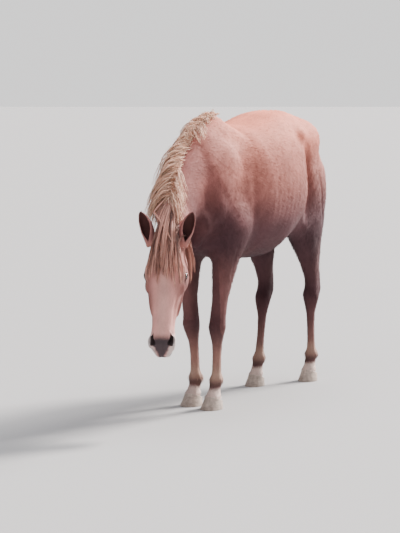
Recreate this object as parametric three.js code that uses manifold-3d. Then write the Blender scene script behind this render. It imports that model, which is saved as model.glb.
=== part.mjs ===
// A young horse standing at rest, life size, with its neck lowered and its face turned a little to the left.
// Millimetres. The horse is laid out with +X forwards, +Y to its left and +Z up, on a floor at Z = 0,
// and the finished group is turned to face -Y with the middle of its box over the origin.
//
// Each region of the body is a loft of closed sections with muscles and bones as soft swellings on it.
// The regions are joined smoothly into one body, which is then parted by thin flat cuts.
import * as THREE from "three";
import { mergeVertices } from "three/addons/utils/BufferGeometryUtils.js";
import Module from "manifold-3d";

const wasm = await Module();
wasm.setup();

// ---------------------------------------------------------------- driving sizes
const WITHERS = 1398; // height of the withers
const CROUP = 1448; // height of the croup, a little above the withers in a yearling
const POLL = new THREE.Vector3(530, 90, 892); // top of the head between the ears
const NECK_ROOT = new THREE.Vector3(-90, 0, 1420); // where the crest line starts over the withers
const NECK_FALL = 38; // degrees that the neck slopes down
const HEAD_TURN = 22; // degrees that the face turns to the left of the body
const HEAD_TILT = 26; // degrees that the nose is carried ahead of the poll
const GAP = 0.35; // clearance between neighbouring pieces
const SWELL = 0.5; // how far a piece is swollen along its normals when it cuts its neighbour
const HIP = 1150; // height that a hind leg swings from
const SHOULDER = 1000; // height that a foreleg swings from
const FOOT = 110; // a swung leg is upright again below this height

// Each leg: its side, how far behind the forefeet it stands, and how far its foot is set ahead and out.
const LEGS = {
  foreleg_left: { side: 1, fore: true, x: 0, step: 0, spread: -10 },
  foreleg_right: { side: -1, fore: true, x: 0, step: -45, spread: -10 },
  hindleg_left: { side: 1, fore: false, x: -1000, step: -10, spread: 26 },
  hindleg_right: { side: -1, fore: false, x: -1000, step: 270, spread: -40 },
};

// ---------------------------------------------------------------- sections
// along, top, bottom, half width, height of the widest place, squareness above and below it, shift left
const TRUNK = [
  [-1125, 1236, 1010, 78, 1110, 2.0, 2.0, 0],
  [-1050, 1332, 930, 132, 1100, 2.0, 2.0, 0],
  [-960, 1398, 880, 174, 1090, 2.1, 2.0, 0],
  [-850, 1436, 838, 202, 1080, 2.3, 2.0, 0],
  [-730, CROUP, 788, 230, 1050, 2.6, 2.0, 0],
  [-600, 1440, 735, 252, 1010, 2.6, 2.1, 0],
  [-450, 1410, 702, 266, 985, 2.5, 2.2, 0],
  [-300, 1382, 708, 256, 985, 2.3, 2.2, 0],
  [-180, 1380, 724, 230, 985, 1.8, 2.2, 0],
  [-80, WITHERS, 738, 202, 975, 1.5, 2.2, 0],
  [20, 1368, 750, 180, 965, 1.6, 2.2, 0],
  [120, 1280, 776, 160, 965, 1.9, 2.2, 0],
  [215, 1130, 830, 126, 970, 2.0, 2.0, 0],
];
const NECK = [
  [-60, -20, -330, 82, -200, 1.6, 2.0, 0],
  [70, 26, -330, 112, -190, 1.6, 2.0, 0],
  [180, 56, -305, 118, -150, 1.7, 2.0, 2],
  [310, 68, -255, 106, -115, 1.7, 2.0, 14],
  [458, 62, -192, 88, -80, 1.7, 2.0, 32],
  [608, 38, -166, 74, -68, 1.8, 2.0, 58],
  [700, 14, -168, 70, -72, 1.9, 2.0, 76],
  [800, -16, -176, 66, -92, 2.0, 2.0, 90],
];
const HEAD = [
  [-34, -8, -140, 62, -70, 2.0, 2.0, 0],
  [40, 10, -168, 76, -70, 2.2, 2.0, 0],
  [110, 24, -212, 86, -62, 2.4, 2.2, 0],
  [180, 27, -238, 92, -60, 2.5, 2.2, 0],
  [225, 20, -226, 88, -62, 2.4, 2.2, 0],
  [300, 9, -178, 70, -62, 2.2, 2.1, 0],
  [370, 4, -144, 57, -58, 2.1, 2.0, 0],
  [430, 3, -122, 53, -55, 2.1, 2.0, 0],
  [480, 1, -118, 58, -56, 2.2, 2.1, 0],
  [520, -6, -118, 62, -60, 2.2, 2.1, 0],
  [562, -22, -112, 56, -66, 2.0, 2.0, 0],
];
// height, front, back, inner side, outer side, squareness
const FORELEG = [
  [1010, 60, -150, 80, 178, 2.0],
  [900, 90, -172, 56, 202, 2.0],
  [800, 76, -164, 44, 190, 2.0],
  [720, 58, -124, 48, 170, 2.0],
  [620, 48, -82, 54, 150, 2.1],
  [520, 40, -52, 57, 132, 2.2],
  [450, 38, -41, 50, 127, 2.3],
  [400, 44, -39, 45, 127, 2.4],
  [355, 34, -37, 52, 117, 2.3],
  [310, 22, -37, 58, 106, 2.1],
  [240, 18, -37, 59, 101, 2.0],
  [175, 20, -39, 57, 102, 2.0],
  [136, 28, -50, 46, 111, 2.1],
  [102, 38, -36, 51, 105, 2.1],
  [80, 51, -23, 48, 108, 2.1],
  [58, 64, -14, 41, 115, 2.1],
  [10, 84, -6, 40, 116, 2.1],
];
const HINDLEG = [
  [1230, 160, -85, 30, 176, 2.0],
  [1120, 214, -116, 6, 198, 2.0],
  [1000, 262, -118, 6, 210, 2.0],
  [900, 286, -98, 14, 206, 2.0],
  [830, 268, -80, 30, 200, 2.0],
  [750, 204, -72, 42, 182, 2.0],
  [670, 130, -76, 55, 162, 2.0],
  [590, 70, -86, 66, 144, 2.0],
  [535, 40, -94, 69, 137, 2.1],
  [498, 32, -92, 65, 139, 2.2],
  [450, 35, -62, 61, 141, 2.3],
  [400, 27, -41, 68, 131, 2.2],
  [350, 20, -34, 75, 120, 2.1],
  [250, 18, -32, 77, 116, 2.0],
  [180, 20, -34, 74, 119, 2.0],
  [138, 29, -47, 63, 130, 2.1],
  [104, 40, -32, 69, 123, 2.1],
  [80, 52, -20, 66, 126, 2.1],
  [58, 64, -11, 60, 132, 2.1],
  [10, 82, -3, 60, 132, 2.1],
];

// Swellings on a region, the same on both sides: along, up, across, then the three half sizes,
// the turn of the long axis in degrees, and how softly it joins.
const TRUNK_SWELLINGS = [
  [30, 1110, 118, 190, 80, 48, -56, 60], // shoulder blade
  [176, 925, 96, 62, 70, 50, -60, 46], // point of the shoulder
  [-50, 930, 126, 118, 96, 64, 35, 50], // triceps
  [180, 870, 52, 54, 74, 46, 0, 36], // breast
  [-724, 1312, 166, 42, 34, 36, 0, 70], // point of the hip
  [-880, 1270, 100, 190, 120, 96, -8, 60], // gluteal muscle
  [-1052, 1110, 76, 60, 124, 58, 8, 50], // seat bone and hamstring
  [-722, 878, 146, 92, 56, 54, 34, 60], // fold of the flank
];
const HEAD_SWELLINGS = [
  [150, -132, 56, 92, 78, 36, 12, 26], // cheek
  [176, -14, 76, 40, 15, 20, -6, 16], // brow
  [232, -50, 78, 34, 18, 16, 0, 18], // rim below the eye
  [292, -84, 58, 78, 11, 16, -2, 18], // crest of the face
  [505, -44, 46, 36, 24, 18, 30, 14], // wing of the nostril
  [548, -62, 24, 26, 30, 32, 0, 16], // upper lip
  [520, -116, 16, 34, 20, 26, -14, 16], // chin
];
// How softly the regions join, and how far a neighbour is sunk where a region's own mesh runs over it.
const LEG_BLEND = 80;
const NECK_BLEND = 90;
const HEAD_BLEND = 46;
const SINK = 10;

// Cuts across the body, as places on its upper and lower sides: along and up.
const NECK_CUT = { top: [84, 1336], bottom: [292, 893] };
const HEAD_CUT = { top: [-28, 0], bottom: [56, -190] };

// Cuts under the legs' roots: a height in the middle of the leg, the slopes of the cut outwards and to the
// rear, and the block's reach ahead of and behind the leg's line, off the midline and below the floor.
const FORELEG_CUT = { height: 830, lean: 0.8, rise: 0, front: 118, back: -205 };
const HINDLEG_CUT = { height: 895, lean: 0.7, rise: 0.45, front: 360, back: -260 };
const LEG_CUT = { middle: 110, inner: 2, outer: 420, below: 400 };

// Hooves: the sole's outline on the floor and the coronet's outline, which slopes down to the heels.
const HOOVES = {
  fore: { toe: 108, heel: -8, inner: 25, outer: 131, coronetToe: 66, coronetHeel: -19, narrow: 11 },
  hind: { toe: 105, heel: -6, inner: 46, outer: 146, coronetToe: 66, coronetHeel: -16, narrow: 10 },
};
const CORONET = { front: 62, back: 33 }; // heights of the coronet at the toe and at the heels

// Eyes and nostrils, in the head's frame: along, up, across, then half sizes along, up and across.
const EYE = { place: [196, -38, 79], radius: 21, opening: [25, 15, 20], reach: 20 };
const NOSTRIL = { place: [514, -30, 50], size: [20, 12, 10], turn: 24 };

// An ear's cup, from its base to its tip: share of the length, half width, how far it wraps round, thickness.
const EAR = { length: 148, place: [30, -16, 77], outward: 0.32, forward: 0.12, opening: 24 };
const EAR_CUP = [
  [0, 25, 172, 9],
  [0.16, 29, 150, 7],
  [0.36, 33, 122, 6],
  [0.56, 31, 104, 6],
  [0.76, 23, 92, 5],
  [0.92, 11, 84, 4],
  [1, 3, 80, 2.5],
];

// Mane: along the neck, then the angles round the neck where the hair starts on the left and ends on the
// right, its height on the crest and its thickness at its lower edge.
const MANE = [
  [-22, 87, 96, 3, 3],
  [60, 82, 112, 20, 12],
  [160, 78, 130, 48, 26],
  [280, 76, 148, 60, 38],
  [420, 72, 166, 62, 44],
  [560, 66, 178, 56, 42],
  [680, 58, 182, 48, 36],
  [750, 54, 172, 34, 22],
];
// Forelock: along the head, then its two side angles, its thickness in the middle and at the sides.
const FORELOCK = [
  [-24, 62, 118, 26, 12],
  [20, 58, 122, 26, 12],
  [70, 46, 134, 22, 12],
  [130, 36, 144, 18, 10],
  [190, 44, 138, 14, 8],
  [236, 62, 122, 9, 6],
];
const HAIR_CLEAR = 8; // room between the skin and the hair over it
// Tail: places down its middle line as ahead, left and up, with its half width and half depth.
const TAIL = [
  [-1050, 0, 1318, 24, 20],
  [-1098, 0, 1302, 27, 23],
  [-1136, 3, 1256, 31, 26],
  [-1154, 10, 1176, 38, 28],
  [-1162, 22, 1056, 46, 30],
  [-1161, 34, 920, 52, 32],
  [-1155, 46, 780, 54, 32],
  [-1147, 54, 650, 49, 28],
  [-1141, 59, 540, 36, 22],
  [-1138, 61, 470, 16, 12],
];

// ---------------------------------------------------------------- curves and distances
const radians = THREE.MathUtils.degToRad;

/** Smooth curves through rows of numbers, which never swing past a row. A row starts with its place. */
class Track {
  constructor(rows) {
    this.rows = [...rows].sort((a, b) => a[0] - b[0]);
    this.slopes = this.rows.map((row, i) => row.map((_, k) => this.slope(i, k)));
  }

  rise(i, k) {
    return (this.rows[i + 1][k] - this.rows[i][k]) / (this.rows[i + 1][0] - this.rows[i][0]);
  }

  slope(i, k) {
    const last = this.rows.length - 1;
    if (i === 0) return this.rise(0, k);
    if (i === last) return this.rise(last - 1, k);
    const before = this.rise(i - 1, k);
    const after = this.rise(i, k);
    return before * after <= 0 ? 0 : (2 * before * after) / (before + after);
  }

  get first() {
    return this.rows[0][0];
  }

  get last() {
    return this.rows[this.rows.length - 1][0];
  }

  at(place) {
    const t = THREE.MathUtils.clamp(place, this.first, this.last);
    let i = 0;
    while (i < this.rows.length - 2 && t > this.rows[i + 1][0]) i += 1;
    const width = this.rows[i + 1][0] - this.rows[i][0];
    const f = (t - this.rows[i][0]) / width;
    const blend = f * f * (3 - 2 * f);
    return this.rows[i].map((value, k) => {
      const next = this.rows[i + 1][k];
      const lift = f * (1 - f) * width * ((1 - f) * this.slopes[i][k] - f * this.slopes[i + 1][k]);
      return value + (next - value) * blend + lift;
    });
  }
}

/** The nearer of two distances, rounded off where they are within reach of each other. */
function smoothMin(a, b, reach) {
  const overlap = Math.max(reach - Math.abs(a - b), 0) / reach;
  return Math.min(a, b) - overlap * overlap * reach * 0.25;
}

/** About the distance from a place to a turned ellipsoid, given by its row of numbers. */
function swellingDistance([t, v, w], [t0, v0, w0, long, high, wide, turn]) {
  const cos = Math.cos(radians(turn));
  const sin = Math.sin(radians(turn));
  const along = ((t - t0) * cos + (v - v0) * sin) / long;
  const up = (-(t - t0) * sin + (v - v0) * cos) / high;
  const out = (w - w0) / wide;
  const ratio = Math.hypot(along, up, out);
  const slope = Math.hypot(along / long, up / high, out / wide);
  return slope < 1e-9 ? -Math.min(long, high, wide) : (ratio * (ratio - 1)) / slope;
}

/** A region of the body: sections along an axis, with swellings, in a frame of its own. */
class Region {
  constructor({ rows, origin, along, up, side, rounding, swellings = [], sway = () => [0, 0] }) {
    this.track = new Track(rows);
    this.frame = new THREE.Matrix4().makeBasis(along, up, side).setPosition(origin);
    this.inverse = this.frame.clone().invert();
    this.mirrored = this.frame.determinant() < 0;
    this.rounding = rounding;
    this.swellings = swellings;
    this.sway = sway;
  }

  /** The section at a place, drawn in towards a rounded end. */
  section(t) {
    const [, top, bottom, half, middle, above, below, shift] = this.track.at(t);
    const [startRound, endRound] = this.rounding;
    const fromStart = startRound ? 1 - Math.min((t - this.track.first) / startRound, 1) : 0;
    const fromEnd = endRound ? 1 - Math.min((this.track.last - t) / endRound, 1) : 0;
    const inset = Math.min(Math.max(fromStart, fromEnd), 1);
    const dome = Math.sqrt(Math.max(1 - inset * inset, 0.0025));
    const rise = (top - middle) * dome;
    const drop = (middle - bottom) * dome;
    return { middle, above, below, shift, half: half * dome, rise, drop };
  }

  toWorld(t, v, w) {
    const [dv, dw] = this.sway(t);
    return new THREE.Vector3(t, v + dv, w + dw).applyMatrix4(this.frame);
  }

  toLocal(point) {
    const p = point.clone().applyMatrix4(this.inverse);
    const [dv, dw] = this.sway(p.x);
    return [p.x, p.y - dv, p.z - dw];
  }

  distance(point) {
    const [t, v, w] = this.toLocal(point);
    const { half, rise, drop, middle, above, below, shift } = this.section(t);
    const up = v - middle;
    const out = w - shift;
    const power = up > 0 ? above : below;
    const height = up > 0 ? rise : drop;
    const ratio = (Math.abs(out / half) ** power + Math.abs(up / height) ** power) ** (1 / power);
    const plain = ratio < 1e-6 ? -Math.min(half, height) : Math.hypot(up, out) * (1 - 1 / ratio);
    const beyond = t - THREE.MathUtils.clamp(t, this.track.first, this.track.last);
    let d = beyond === 0 ? plain : Math.hypot(Math.max(plain, 0), beyond);
    for (const row of this.swellings) {
      d = smoothMin(d, swellingDistance([t, v, Math.abs(out)], row), row[7]);
    }
    return d;
  }
}

// ---------------------------------------------------------------- regions
const X = new THREE.Vector3(1, 0, 0);
const Y = new THREE.Vector3(0, 1, 0);
const Z = new THREE.Vector3(0, 0, 1);

const trunk = new Region({
  rows: TRUNK,
  origin: new THREE.Vector3(),
  along: X,
  up: Z,
  side: Y,
  rounding: [120, 110],
  swellings: TRUNK_SWELLINGS,
});

const neck = new Region({
  rows: NECK,
  origin: NECK_ROOT,
  along: X.clone().applyAxisAngle(Y, radians(NECK_FALL)),
  up: Z.clone().applyAxisAngle(Y, radians(NECK_FALL)),
  side: Y,
  rounding: [60, 50],
});

const headTurn = new THREE.Quaternion()
  .setFromAxisAngle(Z, radians(HEAD_TURN))
  .multiply(new THREE.Quaternion().setFromAxisAngle(Y, radians(90 - HEAD_TILT)));
const head = new Region({
  rows: HEAD,
  origin: POLL,
  along: X.clone().applyQuaternion(headTurn),
  up: Z.clone().applyQuaternion(headTurn),
  side: Y.clone().applyQuaternion(headTurn),
  rounding: [50, 46],
  swellings: HEAD_SWELLINGS,
});

/** A leg, whose foot is swung ahead and outwards in a straight slope from the joint above it. */
function makeLeg({ side, fore, x, step, spread }) {
  const pivot = fore ? SHOULDER : HIP;
  const rows = (fore ? FORELEG : HINDLEG).map(([z, front, back, inner, outer, power]) => {
    const middle = (front + back) / 2;
    return [z, front, back, (outer - inner) / 2, middle, power, power, (outer + inner) / 2];
  });
  return new Region({
    rows,
    origin: new THREE.Vector3(x, 0, 0),
    along: Z,
    up: X,
    side: Y.clone().multiplyScalar(side),
    rounding: [0, 150],
    sway: (z) => {
      const share = THREE.MathUtils.clamp((pivot - z) / (pivot - FOOT), 0, 1);
      return [step * share, spread * share];
    },
  });
}
const legs = new Map(Object.entries(LEGS).map(([name, leg]) => [name, makeLeg(leg)]));

// Each region's surface with its neighbours a little sunk, so that its mesh slips under theirs.
const trunkSurface = (p) => {
  let d = smoothMin(trunk.distance(p), neck.distance(p) + SINK, NECK_BLEND);
  for (const leg of legs.values()) d = smoothMin(d, leg.distance(p) + SINK, LEG_BLEND);
  return d;
};
const neckSurface = (p) => {
  const d = smoothMin(neck.distance(p), trunk.distance(p) + SINK, NECK_BLEND);
  return smoothMin(d, head.distance(p) + SINK, HEAD_BLEND);
};
const headSurface = (p) => smoothMin(head.distance(p), neck.distance(p) + SINK, HEAD_BLEND);
const legSurface = (leg) => (p) => smoothMin(leg.distance(p), trunk.distance(p) + SINK, LEG_BLEND);
const crestSurface = (p) => {
  const d = smoothMin(neck.distance(p), trunk.distance(p), NECK_BLEND);
  return smoothMin(d, head.distance(p), HEAD_BLEND);
};

// ---------------------------------------------------------------- meshes
/** Places along a track: at its rows, at even steps between them, and some more. */
function placesOn(track, between, more) {
  const places = [track.last, ...more];
  for (let i = 0; i < track.rows.length - 1; i += 1) {
    for (let k = 0; k < between; k += 1) {
      places.push(THREE.MathUtils.lerp(track.rows[i][0], track.rows[i + 1][0], k / between));
    }
  }
  return places.sort((a, b) => a - b);
}

/** Points at even shares round a closed ring. */
function aroundRing(sides, pointAt) {
  return Array.from({ length: sides }, (_, k) => pointAt((k + 0.5) / sides));
}

/** A closed mesh of rings of points. Each end is closed by a fan to its middle. */
function ringGeometry(rings) {
  const sides = rings[0].length;
  const points = rings.flat();
  const faces = [];
  for (let i = 0; i < rings.length - 1; i += 1) {
    for (let k = 0; k < sides; k += 1) {
      const a = i * sides + k;
      const b = i * sides + ((k + 1) % sides);
      faces.push(a, b, a + sides, b, b + sides, a + sides);
    }
  }
  [0, rings.length - 1].forEach((i) => {
    const middle = new THREE.Vector3();
    rings[i].forEach((p) => middle.addScaledVector(p, 1 / sides));
    points.push(middle);
    for (let k = 0; k < sides; k += 1) {
      const a = i * sides + k;
      const b = i * sides + ((k + 1) % sides);
      faces.push(...(i === 0 ? [b, a] : [a, b]), points.length - 1);
    }
  });
  const geometry = new THREE.BufferGeometry().setFromPoints(points);
  geometry.setIndex(faces);
  return geometry;
}

/** A solid from a closed mesh, turned right side out. */
function toSolid(geometry) {
  const bare = geometry.clone();
  bare.deleteAttribute("normal");
  bare.deleteAttribute("uv");
  const merged = mergeVertices(bare, 1e-4);
  const build = (triVerts) => new wasm.Manifold(new wasm.Mesh({
    numProp: 3,
    vertProperties: new Float32Array(merged.attributes.position.array),
    triVerts,
  }));
  const triangles = new Uint32Array(merged.index.array);
  const solid = build(triangles);
  return solid.volume() > 0 ? solid : build(triangles.reverse());
}

/** The mesh of a solid. */
function toGeometry(solid) {
  const { vertProperties, triVerts } = solid.getMesh();
  const geometry = new THREE.BufferGeometry();
  geometry.setAttribute("position", new THREE.BufferAttribute(new Float32Array(vertProperties), 3));
  geometry.setIndex([...triVerts]);
  return geometry;
}

/** A solid a little larger all round. */
function swollen(solid) {
  const geometry = toGeometry(solid);
  geometry.computeVertexNormals();
  const { position, normal } = geometry.attributes;
  for (let i = 0; i < position.count; i += 1) {
    position.setXYZ(
      i,
      position.getX(i) + SWELL * normal.getX(i),
      position.getY(i) + SWELL * normal.getY(i),
      position.getZ(i) + SWELL * normal.getZ(i),
    );
  }
  return toSolid(geometry);
}

/** A solid with its neighbours cut out of it, with room to spare. */
function clearOf(solid, neighbours) {
  return neighbours.reduce((rest, other) => rest.subtract(swollen(other)).subtract(other), solid);
}

/** The largest piece of a solid that was cut. */
function largest(solid) {
  return solid.decompose().reduce((a, b) => (a.volume() > b.volume() ? a : b));
}

/** The last place inside a shape on a line from a start, looked for in steps out to a limit. */
function leave(distance, from, direction, limit) {
  const step = 4;
  const at = (r) => distance(from.clone().addScaledVector(direction, r));
  let inside = 0;
  while (inside < limit && at(inside + step) < 0) inside += step;
  let outside = inside + step;
  for (let i = 0; i < 10; i += 1) {
    const between = (inside + outside) / 2;
    if (at(between) < 0) inside = between;
    else outside = between;
  }
  return (inside + outside) / 2;
}

/** A ray out from a region's axis, at an angle from its side towards its top. */
function rayFrom(region, t, angle) {
  const { middle, shift } = region.section(t);
  const centre = region.toWorld(t, middle, shift);
  const end = region.toWorld(t, middle + Math.sin(angle), shift + Math.cos(angle));
  return { centre, direction: end.sub(centre).normalize() };
}

/** A region's surface as rings round its axis, followed no further than a reach beyond its own sections. */
function regionSolid(region, surface, { between, sides, more = [], reach }) {
  const rings = placesOn(region.track, between, more).map((t) => aroundRing(sides, (share) => {
    const { centre, direction } = rayFrom(region, t, 2 * Math.PI * share);
    const own = leave((p) => region.distance(p), centre, direction, 500);
    return centre.clone().addScaledVector(direction, leave(surface, centre, direction, own + reach));
  }));
  return toSolid(ringGeometry(rings));
}

// ---------------------------------------------------------------- cuts
/** A cut across a region's height, from a place on its upper side to one on its lower side. */
function makeCut(region, [t0, v0], [t1, v1]) {
  const normal = new THREE.Vector3(v0 - v1, t1 - t0, 0).normalize();
  const point = region.toWorld(t0, v0, 0);
  const outward = region.toWorld(t0 + normal.x, v0 + normal.y, 0).sub(point).normalize();
  return { normal: outward, offset: outward.dot(point) };
}

const neckCut = makeCut(trunk, NECK_CUT.top, NECK_CUT.bottom);
const headCut = makeCut(head, HEAD_CUT.top, HEAD_CUT.bottom);

/** What lies ahead of a cut. */
function aheadOf(solid, { normal, offset }) {
  return solid.trimByPlane(normal.toArray(), offset + GAP / 2);
}

/** What lies behind a cut. */
function behind(solid, { normal, offset }) {
  return solid.trimByPlane(normal.clone().negate().toArray(), -offset + GAP / 2);
}

/** The space that a leg is cut out with: a block whose top slopes up outwards and to the rear. */
function legBlock({ side, fore, x, step }, clearance) {
  const cut = fore ? FORELEG_CUT : HINDLEG_CUT;
  const pivot = fore ? SHOULDER : HIP;
  const { middle, inner, outer, below } = LEG_CUT;
  const swung = x + (step * (pivot - cut.height)) / (pivot - FOOT);
  const top = cut.height + clearance;
  const block = new THREE.BoxGeometry(cut.front - cut.back, outer - inner, top + below);
  block.translate(swung + (cut.front + cut.back) / 2, (side * (outer + inner)) / 2, (top - below) / 2);
  const slope = new THREE.Matrix4().set(
    1, 0, 0, 0,
    0, 1, 0, 0,
    -cut.rise, side * cut.lean, 1, cut.rise * swung - cut.lean * middle,
    0, 0, 0, 1,
  );
  return toSolid(block.applyMatrix4(slope));
}

// ---------------------------------------------------------------- flesh
let body = regionSolid(trunk, trunkSurface, { between: 2, sides: 20, more: [-1121, -1112], reach: 60 })
  .add(regionSolid(neck, neckSurface, { between: 2, sides: 20, reach: 70 }))
  .add(regionSolid(head, headSurface, { between: 2, sides: 20, more: [-30, -20, 548, 556], reach: 50 }));
for (const leg of legs.values()) {
  body = body.add(regionSolid(leg, legSurface(leg), { between: 1, sides: 12, reach: 70 }));
}
const rear = behind(body, neckCut);
const neckSolid = largest(behind(aheadOf(body, neckCut), headCut));
let headSolid = largest(aheadOf(body, headCut));
let trunkSolid = rear;
const legSolids = new Map();
for (const [name, leg] of Object.entries(LEGS)) {
  legSolids.set(name, largest(rear.intersect(legBlock(leg, 0))));
  trunkSolid = trunkSolid.subtract(legBlock(leg, GAP));
}
trunkSolid = largest(trunkSolid);

// ---------------------------------------------------------------- hooves
/** The outline of a hoof at a level: round at the toe, squarer at the heels. */
function hoofOutline(toe, heel, inner, outer, share) {
  const angle = 2 * Math.PI * share;
  const middle = heel + (toe - heel) * 0.42;
  const reach = Math.cos(angle) > 0 ? toe - middle : middle - heel;
  const square = Math.cos(angle) > 0 ? 1 : 0.7;
  const forward = Math.sign(Math.cos(angle)) * Math.abs(Math.cos(angle)) ** square;
  const across = Math.sign(Math.sin(angle)) * Math.abs(Math.sin(angle)) ** square;
  return [middle + reach * forward, (inner + outer) / 2 + ((outer - inner) / 2) * across];
}

/** The height of a coronet at a distance ahead of its leg's line. */
function coronetHeight({ coronetToe, coronetHeel }, along) {
  const share = (along - coronetHeel) / (coronetToe - coronetHeel);
  return THREE.MathUtils.lerp(CORONET.back, CORONET.front, share);
}

/** A hoof: rings from the sole up to the slope of the coronet, flaring out to the floor. */
function hoofSolid(region, hoof) {
  const { toe, heel, inner, outer, coronetToe, coronetHeel, narrow } = hoof;
  const [swayAhead, swayOut] = region.sway(0);
  const rings = [0, 0.12, 0.5, 1].map((rise) => aroundRing(18, (share) => {
    const [soleAhead, soleOut] = hoofOutline(toe, heel, inner, outer, share);
    const [topAhead, topOut] = hoofOutline(coronetToe, coronetHeel, inner + narrow, outer - narrow, share);
    const flare = 1 - (1 - rise) ** 1.15;
    return new THREE.Vector3(
      rise * (coronetHeight(hoof, topAhead) - GAP),
      THREE.MathUtils.lerp(soleAhead, topAhead, flare) + swayAhead,
      THREE.MathUtils.lerp(soleOut, topOut, flare) + swayOut,
    ).applyMatrix4(region.frame);
  }));
  return toSolid(ringGeometry(rings));
}

/** A leg above the slope of its coronet. */
function aboveCoronet(solid, region, hoof) {
  const [swayAhead] = region.sway(0);
  const start = region.frame.elements[12] + swayAhead;
  const low = new THREE.Vector3(start + hoof.coronetHeel, 0, CORONET.back);
  const high = new THREE.Vector3(start + hoof.coronetToe, 0, CORONET.front);
  const normal = new THREE.Vector3(low.z - high.z, 0, high.x - low.x).normalize();
  return solid.trimByPlane(normal.toArray(), normal.dot(low) + GAP);
}

const hoofSolids = new Map();
for (const [name, leg] of legs) {
  const hoof = LEGS[name].fore ? HOOVES.fore : HOOVES.hind;
  hoofSolids.set(name.replace("leg", "hoof"), hoofSolid(leg, hoof));
  legSolids.set(name, aboveCoronet(legSolids.get(name), leg, hoof));
}

// ---------------------------------------------------------------- ears, eyes and nostrils
/** A ball stretched to three half sizes in the head's frame, on one side of it. */
function headBall([t, v, w], [long, high, wide], turn, side) {
  const ball = new THREE.SphereGeometry(1, 10, 7);
  ball.scale(long, high, wide);
  ball.rotateZ(radians(turn));
  ball.translate(t, v, w);
  ball.scale(1, 1, side);
  return toSolid(ball.applyMatrix4(head.frame));
}

/** An ear: rings of a cup that is closed at its base and open to the front, narrowing to its tip. */
function earSolid(side) {
  const root = head.toWorld(EAR.place[0], EAR.place[1], side * EAR.place[2]);
  const turn = new THREE.Quaternion().setFromAxisAngle(Z, radians(HEAD_TURN));
  const axis = new THREE.Vector3(EAR.forward, side * EAR.outward, 1).normalize().applyQuaternion(turn);
  const opening = X.clone().applyAxisAngle(Z, radians(side * EAR.opening)).applyQuaternion(turn);
  const across = axis.clone().cross(opening).normalize();
  const front = across.clone().cross(axis).normalize();
  const rings = EAR_CUP.map(([share, half, wrap, thickness]) => {
    const bow = 10 * Math.sin(Math.PI * share);
    const centre = root.clone().addScaledVector(axis, share * EAR.length).addScaledVector(front, -bow);
    const arc = 7;
    const outside = Array.from({ length: arc }, (_, k) => [half, radians(wrap * ((2 * k) / (arc - 1) - 1))]);
    const inner = Math.max(half - thickness, half * 0.3);
    const inside = outside.map(([, angle]) => [inner, angle * 0.96]).reverse();
    return [...outside, ...inside].map(([radius, angle]) => centre.clone()
      .addScaledVector(front, -radius * Math.cos(angle) * 0.8)
      .addScaledVector(across, radius * Math.sin(angle)));
  });
  return toSolid(ringGeometry(rings));
}

const ears = {};
const eyes = {};
for (const [sideName, side] of [["left", 1], ["right", -1]]) {
  ears[sideName] = largest(clearOf(earSolid(side), [headSolid, neckSolid]));
}
for (const [sideName, side] of [["left", 1], ["right", -1]]) {
  const [t, v, w] = EYE.place;
  eyes[sideName] = headBall(EYE.place, [EYE.radius, EYE.radius, EYE.radius], 0, side);
  headSolid = headSolid
    .subtract(swollen(eyes[sideName]))
    .subtract(headBall([t, v, w + EYE.reach], EYE.opening, 0, side))
    .subtract(headBall(NOSTRIL.place, NOSTRIL.size, NOSTRIL.turn, side));
}

// ---------------------------------------------------------------- long hair
/** A layer of hair round part of a region, as rings of an outer arc and an arc close to the skin. */
function hairSolid(region, rows, between, thicknessAt) {
  const track = new Track(rows);
  const arc = 7;
  const rings = placesOn(track, between, []).map((t) => {
    const [, from, to, high, low] = track.at(t);
    const outer = [];
    const inner = [];
    for (let k = 0; k < arc; k += 1) {
      const share = k / (arc - 1);
      const { centre, direction } = rayFrom(region, t, radians(from + (to - from) * share));
      const r = leave(crestSurface, centre, direction, 420) + HAIR_CLEAR;
      outer.push(centre.clone().addScaledVector(direction, r + thicknessAt(share, high, low)));
      inner.unshift(centre.clone().addScaledVector(direction, r));
    }
    return [...outer, ...inner];
  });
  return toSolid(ringGeometry(rings));
}

const maneThickness = (share, high, low) => {
  const crest = Math.exp(-(((share - 0.14) / 0.16) ** 2));
  return 4 + (high - 4) * crest + (low - 4) * Math.sin(Math.PI * share ** 1.4) ** 0.6;
};
const forelockThickness = (share, high, low) => low + (high - low) * Math.sin(Math.PI * share);

/** The tail, as rings across a smooth line down its middle. */
function tailSolid() {
  const line = new THREE.CatmullRomCurve3(TAIL.map(([x, y, z]) => new THREE.Vector3(x, y, z)));
  const sizes = new Track(TAIL.map(([, , , wide, deep], i) => [i / (TAIL.length - 1), wide, deep]));
  const steps = 15;
  const rings = Array.from({ length: steps + 1 }, (_, i) => {
    const share = i / steps;
    const [, wide, deep] = sizes.at(share);
    const centre = line.getPoint(share);
    const out = line.getTangent(share).cross(Y).normalize();
    return aroundRing(10, (round) => centre.clone()
      .addScaledVector(Y, wide * Math.cos(2 * Math.PI * round))
      .addScaledVector(out, deep * Math.sin(2 * Math.PI * round)));
  });
  return toSolid(ringGeometry(rings));
}

const skin = [neckSolid, headSolid, ears.left, ears.right];
const mane = largest(clearOf(hairSolid(neck, MANE, 2, maneThickness), [trunkSolid, ...skin]));
const forelock = largest(clearOf(hairSolid(head, FORELOCK, 1, forelockThickness), [...skin, mane]));
const tail = largest(clearOf(tailSolid(), [trunkSolid]));

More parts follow.
